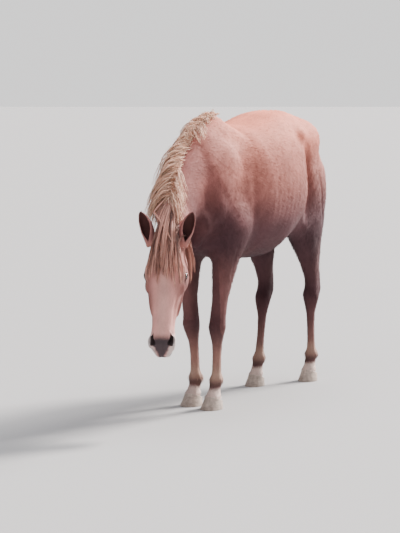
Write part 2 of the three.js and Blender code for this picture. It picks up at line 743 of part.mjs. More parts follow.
// ---------------------------------------------------------------- the horse
const coat = { color: 0xa9664a, roughness: 0.75 };
const parts = {
  trunk: [trunkSolid, coat],
  neck: [neckSolid, coat],
  head: [headSolid, { color: 0xa86c55, roughness: 0.75 }],
  tail: [tail, { color: 0xa8684c, roughness: 0.8 }],
  mane: [mane, { color: 0xc99a78, roughness: 0.8 }],
  forelock: [forelock, { color: 0xc79a80, roughness: 0.8 }],
};
for (const [name, solid] of legSolids) parts[name] = [solid, { color: 0x8a5442, roughness: 0.75 }];
for (const [name, solid] of hoofSolids) parts[name] = [solid, { color: 0x9a8a78, roughness: 0.6 }];
for (const side of ["left", "right"]) {
  parts[`ear_${side}`] = [ears[side], { color: 0x7a4a3c, roughness: 0.8 }];
  parts[`eye_${side}`] = [eyes[side], { color: 0x14100e, roughness: 0.1 }];
}

const horse = new THREE.Group();
for (const [name, [solid, look]] of Object.entries(parts)) {
  const material = new THREE.MeshStandardMaterial({ ...look, metalness: 0 });
  const part = new THREE.Mesh(toGeometry(solid).rotateZ(-Math.PI / 2), material);
  part.name = name;
  horse.add(part);
}
const box = new THREE.Box3().setFromObject(horse);
const middle = box.getCenter(new THREE.Vector3());
for (const part of horse.children) part.geometry.translate(-middle.x, -middle.y, -box.min.z);
export default horse;
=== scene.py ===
"""A young chestnut horse at rest: one skin with its short coat, and the mane, forelock and tail in locks.

The horse is laid out in millimetres with +X forwards, +Y to its left and +Z up, and the forefeet's line at
X = 0, and place() moves points from there to the frame's metres. The flesh is a distance field of lofted
regions with soft swellings, the same form as the CAD solids, with finer relief over it.
"""
import itertools
import math

import bmesh
import bpy
import numpy as np
from mathutils import Matrix, Vector


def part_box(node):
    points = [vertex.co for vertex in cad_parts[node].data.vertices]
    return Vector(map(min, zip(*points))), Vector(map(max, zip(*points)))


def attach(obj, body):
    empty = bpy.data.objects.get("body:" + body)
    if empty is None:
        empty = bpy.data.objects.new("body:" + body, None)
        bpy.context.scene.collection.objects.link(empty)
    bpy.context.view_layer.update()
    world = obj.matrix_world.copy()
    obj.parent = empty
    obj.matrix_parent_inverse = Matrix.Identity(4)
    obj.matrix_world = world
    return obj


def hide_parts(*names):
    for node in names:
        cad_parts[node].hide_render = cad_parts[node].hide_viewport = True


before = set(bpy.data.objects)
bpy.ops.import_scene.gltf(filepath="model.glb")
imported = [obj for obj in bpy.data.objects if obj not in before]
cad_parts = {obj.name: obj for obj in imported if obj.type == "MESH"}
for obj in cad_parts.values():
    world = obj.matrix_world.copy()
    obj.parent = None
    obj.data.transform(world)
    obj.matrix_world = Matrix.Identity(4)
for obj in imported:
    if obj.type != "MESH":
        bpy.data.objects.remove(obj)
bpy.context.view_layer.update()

# ------------------------------------------------------------------------------------------ driving sizes
MM = 0.001
TOE = 108  # the left forehoof's toe is this far ahead of the forefeet's line
ORIGIN_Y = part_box("forehoof_left")[0].y + TOE * MM
WITHERS = 1398
CROUP = 1448
POLL = (530, 90, 892)
NECK_ROOT = (-90, 0, 1420)
NECK_FALL = 38
HEAD_TURN = 22
HEAD_TILT = 26
HIP = 1150
SHOULDER = 1000
FOOT = 110
LEG_BLEND = 80
NECK_BLEND = 90
HEAD_BLEND = 46
BODY_COAT = 5.0  # depth of the coat on the trunk and the neck
FACE_COAT = 1.5  # and on the face and the feet

LEGS = {
    "foreleg_left": dict(side=1, fore=True, x=0, step=0, spread=-10),
    "foreleg_right": dict(side=-1, fore=True, x=0, step=-45, spread=-10),
    "hindleg_left": dict(side=1, fore=False, x=-1000, step=-10, spread=26),
    "hindleg_right": dict(side=-1, fore=False, x=-1000, step=270, spread=-40),
}

# along, top, bottom, half width, height of the widest place, squareness above and below it, shift left
TRUNK = [
    (-1125, 1236, 1010, 78, 1110, 2.0, 2.0, 0),
    (-1050, 1332, 930, 132, 1100, 2.0, 2.0, 0),
    (-960, 1398, 880, 174, 1090, 2.1, 2.0, 0),
    (-850, 1436, 838, 202, 1080, 2.3, 2.0, 0),
    (-730, CROUP, 788, 230, 1050, 2.6, 2.0, 0),
    (-600, 1440, 735, 252, 1010, 2.6, 2.1, 0),
    (-450, 1410, 702, 266, 985, 2.5, 2.2, 0),
    (-300, 1382, 708, 256, 985, 2.3, 2.2, 0),
    (-180, 1380, 724, 230, 985, 1.8, 2.2, 0),
    (-80, WITHERS, 738, 202, 975, 1.5, 2.2, 0),
    (20, 1368, 750, 180, 965, 1.6, 2.2, 0),
    (120, 1280, 776, 160, 965, 1.9, 2.2, 0),
    (215, 1130, 830, 126, 970, 2.0, 2.0, 0),
]
NECK = [
    (-60, -20, -330, 82, -200, 1.6, 2.0, 0),
    (70, 26, -330, 112, -190, 1.6, 2.0, 0),
    (180, 56, -305, 118, -150, 1.7, 2.0, 2),
    (310, 68, -255, 106, -115, 1.7, 2.0, 14),
    (458, 62, -192, 88, -80, 1.7, 2.0, 32),
    (608, 38, -166, 74, -68, 1.8, 2.0, 58),
    (700, 14, -168, 70, -72, 1.9, 2.0, 76),
    (800, -16, -176, 66, -92, 2.0, 2.0, 90),
]
HEAD = [
    (-34, -8, -140, 62, -70, 2.0, 2.0, 0),
    (40, 10, -168, 76, -70, 2.2, 2.0, 0),
    (110, 24, -212, 86, -62, 2.4, 2.2, 0),
    (180, 27, -238, 92, -60, 2.5, 2.2, 0),
    (225, 20, -226, 88, -62, 2.4, 2.2, 0),
    (300, 9, -178, 70, -62, 2.2, 2.1, 0),
    (370, 4, -144, 57, -58, 2.1, 2.0, 0),
    (430, 3, -122, 53, -55, 2.1, 2.0, 0),
    (480, 1, -118, 58, -56, 2.2, 2.1, 0),
    (520, -6, -118, 58, -60, 2.1, 2.0, 0),
    (543, -14, -114, 50, -63, 2.0, 2.0, 0),
    (566, -26, -106, 36, -66, 1.9, 1.9, 0),
]
# height, front, back, inner side, outer side, squareness
FORELEG = [
    (1010, 60, -150, 80, 178, 2.0),
    (900, 90, -172, 56, 202, 2.0),
    (800, 76, -164, 44, 190, 2.0),
    (720, 58, -124, 48, 170, 2.0),
    (620, 48, -82, 54, 150, 2.1),
    (520, 40, -52, 57, 132, 2.2),
    (450, 38, -41, 50, 127, 2.3),
    (400, 44, -39, 45, 127, 2.4),
    (355, 34, -37, 52, 117, 2.3),
    (310, 22, -37, 58, 106, 2.1),
    (240, 18, -37, 59, 101, 2.0),
    (175, 20, -39, 57, 102, 2.0),
    (136, 28, -50, 46, 111, 2.1),
    (102, 38, -36, 51, 105, 2.1),
    (80, 51, -23, 48, 108, 2.1),
    (58, 64, -14, 41, 115, 2.1),
    (10, 84, -6, 40, 116, 2.1),
]
HINDLEG = [
    (1230, 160, -85, 30, 176, 2.0),
    (1120, 214, -116, 6, 198, 2.0),
    (1000, 262, -118, 6, 210, 2.0),
    (900, 286, -98, 14, 206, 2.0),
    (830, 268, -80, 30, 200, 2.0),
    (750, 204, -72, 42, 182, 2.0),
    (670, 130, -76, 55, 162, 2.0),
    (590, 70, -86, 66, 144, 2.0),
    (535, 40, -94, 69, 137, 2.1),
    (498, 32, -92, 65, 139, 2.2),
    (450, 35, -62, 61, 141, 2.3),
    (400, 27, -41, 68, 131, 2.2),
    (350, 20, -34, 75, 120, 2.1),
    (250, 18, -32, 77, 116, 2.0),
    (180, 20, -34, 74, 119, 2.0),
    (138, 29, -47, 63, 130, 2.1),
    (104, 40, -32, 69, 123, 2.1),
    (80, 52, -20, 66, 126, 2.1),
    (58, 64, -11, 60, 132, 2.1),
    (10, 82, -3, 60, 132, 2.1),
]
# along, up, across, three half sizes, turn of the long axis in degrees, softness of the join
TRUNK_SWELLINGS = [
    (30, 1110, 118, 190, 80, 48, -56, 60),  # shoulder blade
    (176, 925, 96, 62, 70, 50, -60, 46),  # point of the shoulder
    (-50, 930, 126, 118, 96, 64, 35, 50),  # triceps
    (180, 870, 52, 54, 74, 46, 0, 36),  # breast
    (-724, 1312, 166, 42, 34, 36, 0, 70),  # point of the hip
    (-880, 1270, 100, 190, 120, 96, -8, 60),  # gluteal muscle
    (-1052, 1110, 76, 60, 124, 58, 8, 50),  # seat bone and hamstring
    (-722, 878, 146, 92, 56, 54, 34, 60),  # fold of the flank
]
HEAD_SWELLINGS = [
    (150, -132, 56, 92, 78, 36, 12, 26),  # cheek
    (176, -14, 76, 40, 15, 20, -6, 16),  # brow
    (232, -50, 78, 34, 18, 16, 0, 18),  # rim below the eye
    (292, -84, 58, 78, 11, 16, -2, 18),  # crest of the face
    (507, -36, 51, 34, 20, 14, 14, 13),  # wing of the nostril
    (546, -62, 13, 27, 30, 23, 0, 16),  # upper lip
    (520, -116, 16, 34, 20, 26, -14, 16),  # chin
]

# Relief of the skin over each region, on both sides: along, up, across, three half sizes, turn, height.
TRUNK_RELIEF = [
    (-80, 1250, 150, 26, 120, 90, -30, -5),  # groove behind the shoulder blade
    (-150, 1020, 190, 24, 170, 90, 8, -6),  # edge of the shoulder over the ribs
    (95, 1060, 120, 24, 150, 80, -34, -4),  # groove between the shoulder and the neck
    (-118, 800, 90, 34, 50, 90, 0, -9),  # girth behind the elbow
    (-724, 1322, 178, 30, 26, 44, 0, 7),  # point of the hip
    (-610, 1010, 262, 120, 190, 70, 8, 15),  # back of the barrel
    (-768, 1150, 206, 46, 120, 90, -6, -30),  # hollow of the flank
    (-772, 1000, 200, 40, 110, 90, 8, -34),  # and below it, before the thigh
    (-690, 1290, 190, 60, 46, 60, 0, -8),  # below the loins, ahead of the hip
    (-700, 905, 205, 90, 22, 70, 38, 5),  # fold of the flank
    (-930, 1180, 180, 22, 150, 70, 12, -5),  # groove between thigh and hamstring
    (-1010, 1120, 150, 20, 170, 70, 6, -5),  # groove down the hamstring
    (-560, 1430, 0, 420, 30, 14, -2, -4),  # furrow along the loins and the croup
    (-880, 1410, 0, 160, 40, 12, 14, -5),  # furrow of the croup
    (60, 850, 0, 240, 90, 12, 0, -9),  # furrow of the breast
    (210, 960, 0, 60, 130, 14, 0, -10),  # furrow between the points of the shoulder
    (-400, 712, 0, 260, 20, 20, 0, 3),  # line of the belly
]
RIBS = dict(first=-250, last=-600, count=8, lean=0.22, height=0.5)
NECK_RELIEF = [
    (330, -150, 90, 330, 16, 60, -14, -6),  # groove of the jugular vein
    (420, -40, 90, 260, 40, 50, -8, 4),  # long muscle of the neck
    (120, -250, 100, 100, 60, 60, 30, 5),  # root of the neck muscle
    (560, -130, 60, 150, 28, 40, -6, 5),  # windpipe side
    (640, -40, 62, 30, 60, 40, 0, -4),  # behind the poll
]
HEAD_RELIEF = [
    (126, 2, 62, 24, 14, 16, -8, -8),  # hollow above the eye
    (104, -62, 82, 20, 44, 20, 0, -3),  # behind the eye
    (150, -140, 96, 84, 66, 30, 12, 4),  # cheek
    (228, -128, 80, 14, 80, 30, 16, -6),  # edge of the cheek
    (252, -150, 62, 60, 34, 30, 24, -5),  # hollow under the jaw's edge
    (300, -76, 74, 80, 6, 20, -1, 4),  # crest of the face
    (330, -104, 60, 84, 20, 22, 4, -4),  # hollow below the crest
    (350, -26, 52, 110, 9, 18, -2, -3),  # side of the nose bone
    (440, 4, 0, 120, 16, 16, 0, 2),  # end of the nose bone
    (476, -26, 44, 22, 16, 16, 20, -5),  # hollow behind the nostril
    (90, 24, 0, 90, 14, 26, 0, 3),  # forehead
    (545, -30, 0, 18, 26, 10, 0, -3),  # between the nostrils
]
FORELEG_RELIEF = [
    (760, 60, 112, 110, 34, 40, 4, 5),  # muscle of the forearm in front
    (700, -90, 118, 110, 30, 40, -10, 5),  # and behind
    (720, -20, 176, 120, 10, 30, 0, -4),  # groove between them
    (408, 44, 88, 34, 12, 26, 0, 4),  # front of the knee
    (428, 36, 88, 5, 16, 40, 0, -2.5),  # rows of the knee's bones
    (392, 38, 88, 5, 16, 40, 0, -2.5),
    (404, -44, 86, 26, 12, 14, 0, 5),  # bone behind the knee
    (400, 0, 130, 26, 24, 10, 0, 3),
    (250, -14, 112, 110, 5, 16, 0, -4.5),  # groove before the tendons
    (250, -14, 50, 110, 5, 16, 0, -4.5),
    (250, -36, 80, 110, 8, 10, 0, 2),  # tendons
    (140, 6, 116, 18, 20, 10, 0, 3),  # sides of the fetlock
    (140, 6, 44, 18, 20, 10, 0, 3),
    (128, -56, 78, 12, 10, 12, 0, 6),  # ergot
    (100, -30, 78, 14, 12, 20, 0, -4),  # hollow of the pastern
    (66, 0, 78, 7, 80, 60, 16, 3),  # coronet
]
HINDLEG_RELIEF = [
    (900, 250, 190, 60, 50, 40, 20, 7),  # stifle
    (830, 230, 190, 26, 30, 40, 0, 4),  # kneecap's ligaments
    (1000, 60, 206, 150, 16, 50, 14, -6),  # groove down the thigh
    (720, 120, 176, 90, 40, 40, 24, 6),  # gaskin in front
    (700, -10, 172, 100, 20, 40, 6, -6),  # hollow before the hamstring's cord
    (620, -84, 104, 90, 10, 16, -4, 4),  # hamstring's cord
    (600, -48, 104, 76, 16, 60, -4, -7),  # hollow between cord and bone
    (528, -96, 103, 22, 14, 18, 0, 5),  # point of the hock
    (470, 20, 140, 30, 26, 14, 0, 4),  # sides of the hock
    (470, 20, 64, 30, 26, 14, 0, 5),
    (455, -30, 102, 30, 12, 60, 0, -3),
    (250, -12, 124, 110, 5, 16, 0, -4.5),  # groove before the tendons
    (250, -12, 68, 110, 5, 16, 0, -4.5),
    (140, 6, 134, 18, 20, 10, 0, 3),  # sides of the fetlock
    (140, 6, 60, 18, 20, 10, 0, 3),
    (128, -52, 96, 12, 10, 12, 0, 6),  # ergot
    (102, -26, 96, 14, 12, 20, 0, -4),  # hollow of the pastern
    (66, 0, 96, 7, 80, 60, 16, 3),  # coronet
]
# Eye, lids, nostril, mouth and ear, in the head's frame (along, up, across) on both sides; angles in degrees.
EYE = dict(place=(188, -36, 80), radius=21, facing=24)
LIDS = dict(radius=24.2, blend=13, length=19.5, height=10.2, tilt=-14, lower=0.82)
# Folds over and under the lids: place up, how much it bends, width, height, length to each side.
LID_FOLDS = [(17, -0.02, 2.4, 1.6, 26), (-16, 0.02, 2.2, 1.0, 22)]
NOSTRIL = dict(place=(509, -19, 44), long=25, wide=9, deep=13, turn=14, bend=0.012)
RIM = dict(height=3.2, out=3.5, width=4.0)  # of the nostril: how high, how far from its hollow and how wide
MOUTH = [(566, -86, 0), (558, -88, 26), (530, -92, 46), (496, -92, 54), (478, -90, 57)]
GROOVE = dict(depth=4.5, width=3.0)  # along the mouth
LIP = dict(height=1.2, out=8, width=5)  # beside it
EAR = dict(length=148, place=(30, -16, 77), outward=0.32, forward=0.12, opening=24, bow=10, flat=0.8, foot=0.12)
EAR_BLEND = 16
# share of the ear's length, half width, how far the cup wraps round, thickness
EAR_CUP = [
    (0, 25, 172, 10),
    (0.16, 29, 150, 8),
    (0.36, 33, 124, 7),
    (0.56, 32, 106, 6.5),
    (0.76, 26, 94, 6),
    (0.9, 16, 88, 5.5),
    (1, 6, 82, 5),
]


def place(points):
    """Points laid out in millimetres, in the frame's metres."""
    p = np.asarray(points, float) * MM
    return np.stack([p[..., 1], ORIGIN_Y - p[..., 0], p[..., 2]], -1)


def place_direction(vectors):
    v = np.asarray(vectors, float)
    return np.stack([v[..., 1], -v[..., 0], v[..., 2]], -1)


def unit(v):
    v = np.asarray(v, float)
    return v / np.maximum(np.linalg.norm(v, axis=-1, keepdims=True), 1e-9)


def turned(axis, degrees):
    return np.array(Matrix.Rotation(math.radians(degrees), 3, axis))


def hill(distance, reach):
    """1 at a place, falling smoothly to 0 beyond a reach."""
    return np.exp(-((distance / reach) ** 2))


def rise_between(value, low, high):
    """0 below low and 1 above high, with a smooth rise between them."""
    share = np.clip((value - low) / (high - low), 0, 1)
    return share * share * (3 - 2 * share)


# ------------------------------------------------------------------------------------------ form
class Track:
    """Smooth curves through rows of numbers, which never swing past a row. A row starts with its place."""

    def __init__(self, rows):
        self.rows = np.array(sorted(rows), float)
        self.places = self.rows[:, 0]
        rise = np.diff(self.rows, axis=0) / np.diff(self.places)[:, None]
        before, after = rise[:-1], rise[1:]
        total = np.where(before + after == 0, 1, before + after)
        inner = np.where(before * after <= 0, 0, 2 * before * after / total)
        self.slopes = np.vstack([rise[:1], inner, rise[-1:]])

    def at(self, place):
        t = np.clip(place, self.places[0], self.places[-1])
        i = np.clip(np.searchsorted(self.places, t, side="left") - 1, 0, len(self.places) - 2)
        width = self.places[i + 1] - self.places[i]
        f = ((t - self.places[i]) / width)[..., None]
        here, after = self.rows[i], self.rows[i + 1]
        lift = f * (1 - f) * width[..., None] * ((1 - f) * self.slopes[i] - f * self.slopes[i + 1])
        return here + (after - here) * f * f * (3 - 2 * f) + lift


def smooth_min(a, b, reach):
    overlap = np.maximum(reach - np.abs(a - b), 0) / reach
    return np.minimum(a, b) - overlap * overlap * reach * 0.25


def smooth_max(a, b, reach):
    return -smooth_min(-a, -b, reach)


def swelling_ratio(t, v, w, row):
    """The turned, scaled place of points inside an ellipsoid."""
    t0, v0, w0, long, high, wide, turn = row[:7]
    cos, sin = math.cos(math.radians(turn)), math.sin(math.radians(turn))
    along = ((t - t0) * cos + (v - v0) * sin) / long
    up = (-(t - t0) * sin + (v - v0) * cos) / high
    return along, up, (w - w0) / wide


def swelling_distance(t, v, w, row):
    along, up, out = swelling_ratio(t, v, w, row)
    ratio = np.sqrt(along**2 + up**2 + out**2)
    slope = np.sqrt((along / row[3]) ** 2 + (up / row[4]) ** 2 + (out / row[5]) ** 2)
    return ratio * (ratio - 1) / np.maximum(slope, 1e-6)


class Region:
    """A region of the body: sections along an axis, with swellings and relief, in a frame of its own."""

    def __init__(
        self, rows, origin, along, up, side, rounding, swellings=(), relief=(), sway=None, mirrored=True
    ):
        self.track = Track(rows)
        self.origin = np.array(origin, float)
        self.axes = np.array([along, up, side], float)
        self.rounding = rounding
        self.swellings = swellings
        self.relief = relief
        self.sway = sway
        self.mirrored = mirrored

    def section(self, t):
        _, top, bottom, half, middle, above, below, shift = np.moveaxis(self.track.at(t), -1, 0)
        inset = np.zeros_like(t)
        if self.rounding[0]:
            inset = np.maximum(inset, 1 - (t - self.track.places[0]) / self.rounding[0])
        if self.rounding[1]:
            inset = np.maximum(inset, 1 - (self.track.places[-1] - t) / self.rounding[1])
        inset = np.clip(inset, 0, 1)
        dome = np.sqrt(np.maximum(1 - inset * inset, 0.0025))
        return middle, above, below, shift, half * dome, (top - middle) * dome, (middle - bottom) * dome

    def to_local(self, points):
        q = (points - self.origin) @ self.axes.T
        t, v, w = q[:, 0], q[:, 1], q[:, 2]
        if self.sway:
            share, step, spread = self.swayed(t)
            v, w = v - step * share, w - spread * share
        return t, v, w

    def swayed(self, t):
        pivot, step, spread = self.sway
        return np.clip((pivot - t) / (pivot - FOOT), 0, 1), step, spread

    def to_layout(self, t, v, w):
        t, v, w = np.broadcast_arrays(np.asarray(t, float), v, w)
        if self.sway:
            share, step, spread = self.swayed(t)
            v, w = v + step * share, w + spread * share
        return self.origin + np.stack([t, v, w], -1) @ self.axes

    def reliefs(self, t, v, w):
        raised = np.zeros_like(t)
        for row in self.relief:
            along, up, out = swelling_ratio(t, v, w, row)
            raised += row[7] * np.exp(-np.minimum(along**2 + up**2 + out**2, 30))
        return raised

    def distance(self, points, fine=True):
        t, v, w = self.to_local(points)
        middle, above, below, shift, half, rise, drop = self.section(t)
        up, out = v - middle, w - shift
        power = np.where(up > 0, above, below)
        height = np.where(up > 0, rise, drop)
        ratio = (np.abs(out / half) ** power + np.abs(up / height) ** power) ** (1 / power)
        ratio = np.maximum(ratio, 1e-3)
        d = np.maximum(np.hypot(up, out) * (1 - 1 / ratio), -np.minimum(half, height))
        beyond = t - np.clip(t, self.track.places[0], self.track.places[-1])
        d = np.where(beyond == 0, d, np.hypot(np.maximum(d, 0), beyond))
        across = np.abs(out) if self.mirrored else out
        for row in self.swellings:
            d = smooth_min(d, swelling_distance(t, v, across, row), row[7])
        if fine and self.relief:
            d = d - self.reliefs(t, v, across if self.mirrored else w)
        return d


X, Y, Z = np.eye(3)
fall = turned("Y", NECK_FALL)
head_turn = turned("Z", HEAD_TURN) @ turned("Y", 90 - HEAD_TILT)
trunk = Region(TRUNK, (0, 0, 0), X, Z, Y, (120, 110), TRUNK_SWELLINGS, TRUNK_RELIEF)
neck = Region(NECK, NECK_ROOT, fall @ X, fall @ Z, Y, (60, 50), (), NECK_RELIEF)
head = Region(HEAD, POLL, head_turn @ X, head_turn @ Z, head_turn @ Y, (50, 46), HEAD_SWELLINGS, HEAD_RELIEF)


def make_leg(side, fore, x, step, spread):
    rows = [
        (z, front, back, (outer - inner) / 2, (front + back) / 2, power, power, (outer + inner) / 2)
        for z, front, back, inner, outer, power in (FORELEG if fore else HINDLEG)
    ]
    relief = FORELEG_RELIEF if fore else HINDLEG_RELIEF
    sway = (SHOULDER if fore else HIP, step, spread)
    return Region(rows, (x, 0, 0), Z, X, side * Y, (0, 150), (), relief, sway, mirrored=False)


legs = {name: make_leg(**leg) for name, leg in LEGS.items()}


def ear_frame(side):
    """An ear's root, its axis, the way it opens and the way across it."""
    t, v, w = EAR["place"]
    root = head.to_layout(t, v, side * w)
    turn = turned("Z", HEAD_TURN)
    axis = unit(turn @ np.array([EAR["forward"], side * EAR["outward"], 1.0]))
    opening = turn @ turned("Z", side * EAR["opening"]) @ X
    across = unit(np.cross(axis, opening))
    return root, axis, unit(np.cross(across, axis)), across


EAR_TRACK = Track(EAR_CUP)


def round_ear(points, side):
    """Share of an ear's length, distance from its axis, angle from its back, and the cup's half width, wrap
    and thickness there."""
    root, axis, front, across = ear_frame(side)
    q = points - root
    s = q @ axis / EAR["length"]
    _, half, wrap, thick = np.moveaxis(EAR_TRACK.at(s), -1, 0)
    bow = EAR["bow"] * np.sin(math.pi * np.clip(s, 0, 1))
    x = -(q @ front + bow) / EAR["flat"]
    y = q @ across
    return s, np.hypot(x, y), np.degrees(np.arctan2(np.abs(y), x)), half, wrap, thick


def ear_distance(points, side):
    """A cup round the ear's axis, open to the front."""
    s, radius, angle, half, wrap, thick = round_ear(points, side)
    past = np.maximum(angle - wrap, 0)
    middle = half - thick / 2
    off = np.abs(radius - middle)
    edge = 2 * middle * np.sin(np.radians(np.minimum(past, 180) / 2))
    d = np.hypot(np.where(past > 0, radius - middle, off), edge) - thick / 2
    beyond = np.maximum(s - 1, -s - EAR["foot"]) * EAR["length"]
    return np.where(beyond > 0, np.hypot(np.maximum(d, 0), beyond), d)


def segments_distance(t, v, w, points):
    """The distance from places to a line of segments."""
    q = np.stack([t, v, w], -1)
    best = np.full(len(q), 1e9)
    for a, b in zip(points[:-1], points[1:]):
        a, b = np.array(a, float), np.array(b, float)
        ab = b - a
        share = np.clip((q - a) @ ab / (ab @ ab), 0, 1)
        best = np.minimum(best, np.linalg.norm(q - a - share[:, None] * ab, axis=1))
    return best


def lid_opening(t, v, w):
    """Places in the frame of the lids: along the slit, across it and out of it, and the distance to the slit."""
    t0, v0, w0 = EYE["place"]
    tilt, facing = math.radians(LIDS["tilt"]), math.radians(EYE["facing"])
    raised = (v - v0) * math.cos(facing) - (w - w0) * math.sin(facing)
    out = (v - v0) * math.sin(facing) + (w - w0) * math.cos(facing)
    along = (t - t0) * math.cos(tilt) + raised * math.sin(tilt)
    up = -(t - t0) * math.sin(tilt) + raised * math.cos(tilt)
    bow = LIDS["height"] * (1 - np.minimum((along / LIDS["length"]) ** 2, 1) ** 0.9)
    return along, up, out, np.abs(up) - np.where(up > 0, bow, bow * LIDS["lower"])


def nostril_hole(t, v, w):
    """The distance to the curved hollow of a nostril."""
    t0, v0, w0 = NOSTRIL["place"]
    turn = math.radians(NOSTRIL["turn"])
    tt, vv, ww = t - t0, v - v0, w - w0
    along = tt * math.cos(turn) + vv * math.sin(turn)
    up = -tt * math.sin(turn) + vv * math.cos(turn)
    up = up - NOSTRIL["bend"] * along**2 + 2
    size = NOSTRIL["wide"]
    ratio = np.sqrt((along / NOSTRIL["long"]) ** 2 + (up / size) ** 2 + (ww / NOSTRIL["deep"]) ** 2)
    return (ratio - 1) * size


def face_distance(points):
    """The head with its lids, nostrils and mouth."""
    d = head.distance(points)
    t, v, w = head.to_local(points)
    w = np.abs(w)
    t0, v0, w0 = EYE["place"]
    ball = np.sqrt((t - t0) ** 2 + (v - v0) ** 2 + (w - w0) ** 2)
    near = ball < 60
    if near.any():
        along, up, out, opening = lid_opening(t[near], v[near], w[near])
        lids = smooth_min(d[near], ball[near] - LIDS["radius"], LIDS["blend"])
        for middle, bend, wide, high, reach in LID_FOLDS:
            lids = lids + high * hill(up - middle - bend * along**2, wide) * (np.abs(along) < reach)
        pit = np.maximum(opening, -4 - out)
        d[near] = smooth_max(lids, -pit, 2.0)
    near = (np.abs(t - NOSTRIL["place"][0]) < 60) & (w > 5)
    if near.any():
        hole = nostril_hole(t[near], v[near], w[near])
        rim = RIM["height"] * hill(hole - RIM["out"], RIM["width"])
        d[near] = smooth_max(d[near] - rim, -hole, 4)
    near = (t > 440) & (v < -50)
    if near.any():
        line = segments_distance(t[near], v[near], w[near], MOUTH)
        d[near] = d[near] + GROOVE["depth"] * hill(line, GROOVE["width"])
        d[near] = d[near] - LIP["height"] * hill(line - LIP["out"], LIP["width"])
    return d


def ribs(points):
    """Faint ribs on the barrel."""
    x, y, z = points.T
    period = (RIBS["first"] - RIBS["last"]) / RIBS["count"]
    phase = (x + RIBS["lean"] * (z - 1000) - RIBS["first"]) / period
    window = np.exp(-(((z - 1010) / 150) ** 4)) * np.exp(-(((x + 430) / 190) ** 4))
    window = window * np.clip(np.abs(y) / 150 - 0.6, 0, 1)
    return RIBS["height"] * np.cos(2 * math.pi * phase) * window


BOXES = {
    "trunk": ((-1300, -380, 560), (380, 380, 1560)),
    "neck": ((-230, -220, 700), (700, 330, 1560)),
    "head": ((300, -130, 200), (900, 430, 1160)),
}


def within(points, box):
    return np.all((points > box[0]) & (points < box[1]), axis=1)


def leg_box(name):
    leg = LEGS[name]
    x0 = leg["x"] + min(leg["step"], 0)
    x1 = leg["x"] + max(leg["step"], 0)
    y0, y1 = (-110, 330) if leg["side"] > 0 else (-330, 110)
    return (x0 - 260, y0, -200), (x1 + 400, y1, 1400)


FAR = 400.0


def of_part(points, box, distance):
    d = np.full(len(points), FAR)
    near = within(points, box)
    if near.any():
        d[near] = distance(points[near])
    return d


def along_neck(points):
    """How far places are along the neck's axis."""
    return (points - np.array(NECK_ROOT)) @ neck.axes[0]


def coat_depth(points):
    """How deep the coat is: deepest on the body, thin on the face and down the legs."""
    body = np.clip((points[:, 2] - 420) / 260, 0, 1)
    face = np.clip((along_neck(points) - 560) / 160, 0, 1) * (points[:, 0] > 300)
    share = body * (1 - face)
    return FACE_COAT + (BODY_COAT - FACE_COAT) * share * share * (3 - 2 * share)


def near_ear(points, side):
    return of_part(points, BOXES["head"], lambda p: ear_distance(p, side))


def flesh(points):
    """The distance to the outside of the coat, all over the horse."""
    t_d = of_part(points, BOXES["trunk"], lambda p: trunk.distance(p) - ribs(p))
    n_d = of_part(points, BOXES["neck"], neck.distance)
    h_d = of_part(points, BOXES["head"], face_distance)
    d = smooth_min(t_d, n_d, NECK_BLEND)
    d = smooth_min(d, h_d, HEAD_BLEND)
    for name, leg in legs.items():
        l_d = of_part(points, leg_box(name), leg.distance)
        d = smooth_min(d, l_d, LEG_BLEND * np.clip(points[:, 2] / 900, 0.15, 1))
    for side in (1, -1):
        d = smooth_min(d, near_ear(points, side), EAR_BLEND)
    return d


def skin(points):
    """The distance to the skin: inside the coat by its depth, but less in the thin shells of the ears."""
    ears = np.minimum(near_ear(points, 1), near_ear(points, -1))
    return flesh(points) + coat_depth(points) * np.clip((ears - 4) / 16, 0.12, 1)


def gradient(field, points, step=0.5):
    """The direction in which a field grows, and its value."""
    value = field(points)
    slope = np.stack([field(points + step * e) - value for e in np.eye(3)], -1) / step
    return value, slope


def settle(field, points, rounds=2, limit=3.0):
    """Points moved onto the surface of a field."""
    for _ in range(rounds):
        value, slope = gradient(field, points)
        size = np.maximum((slope**2).sum(-1), 0.2)
        move = -np.clip(value / size, -limit, limit)[:, None] * slope
        points = points + move
    return points


# ------------------------------------------------------------------------------------------ meshes
BLOCK = 4  # grid steps to a block
BATCH = 300000  # points worked out at a time
CORNERS = list(itertools.product((0, 1), repeat=3))


def lines(*runs):
    """Places of a grid's lines: runs of (from, to, step), with a whole number of blocks in all."""
    places = [np.arange(start, end - step * 0.3, step) for start, end, step in runs]
    places = np.concatenate(places)
    step = runs[-1][2]
    extra = (-(len(places) - 1)) % BLOCK
    return np.concatenate([places, places[-1] + step * np.arange(1, extra + 1)])


def by_blocks(values):
    """Each block's value at all of its grid points."""
    for axis in range(3):
        values = np.repeat(values, BLOCK, axis=axis)
    return values


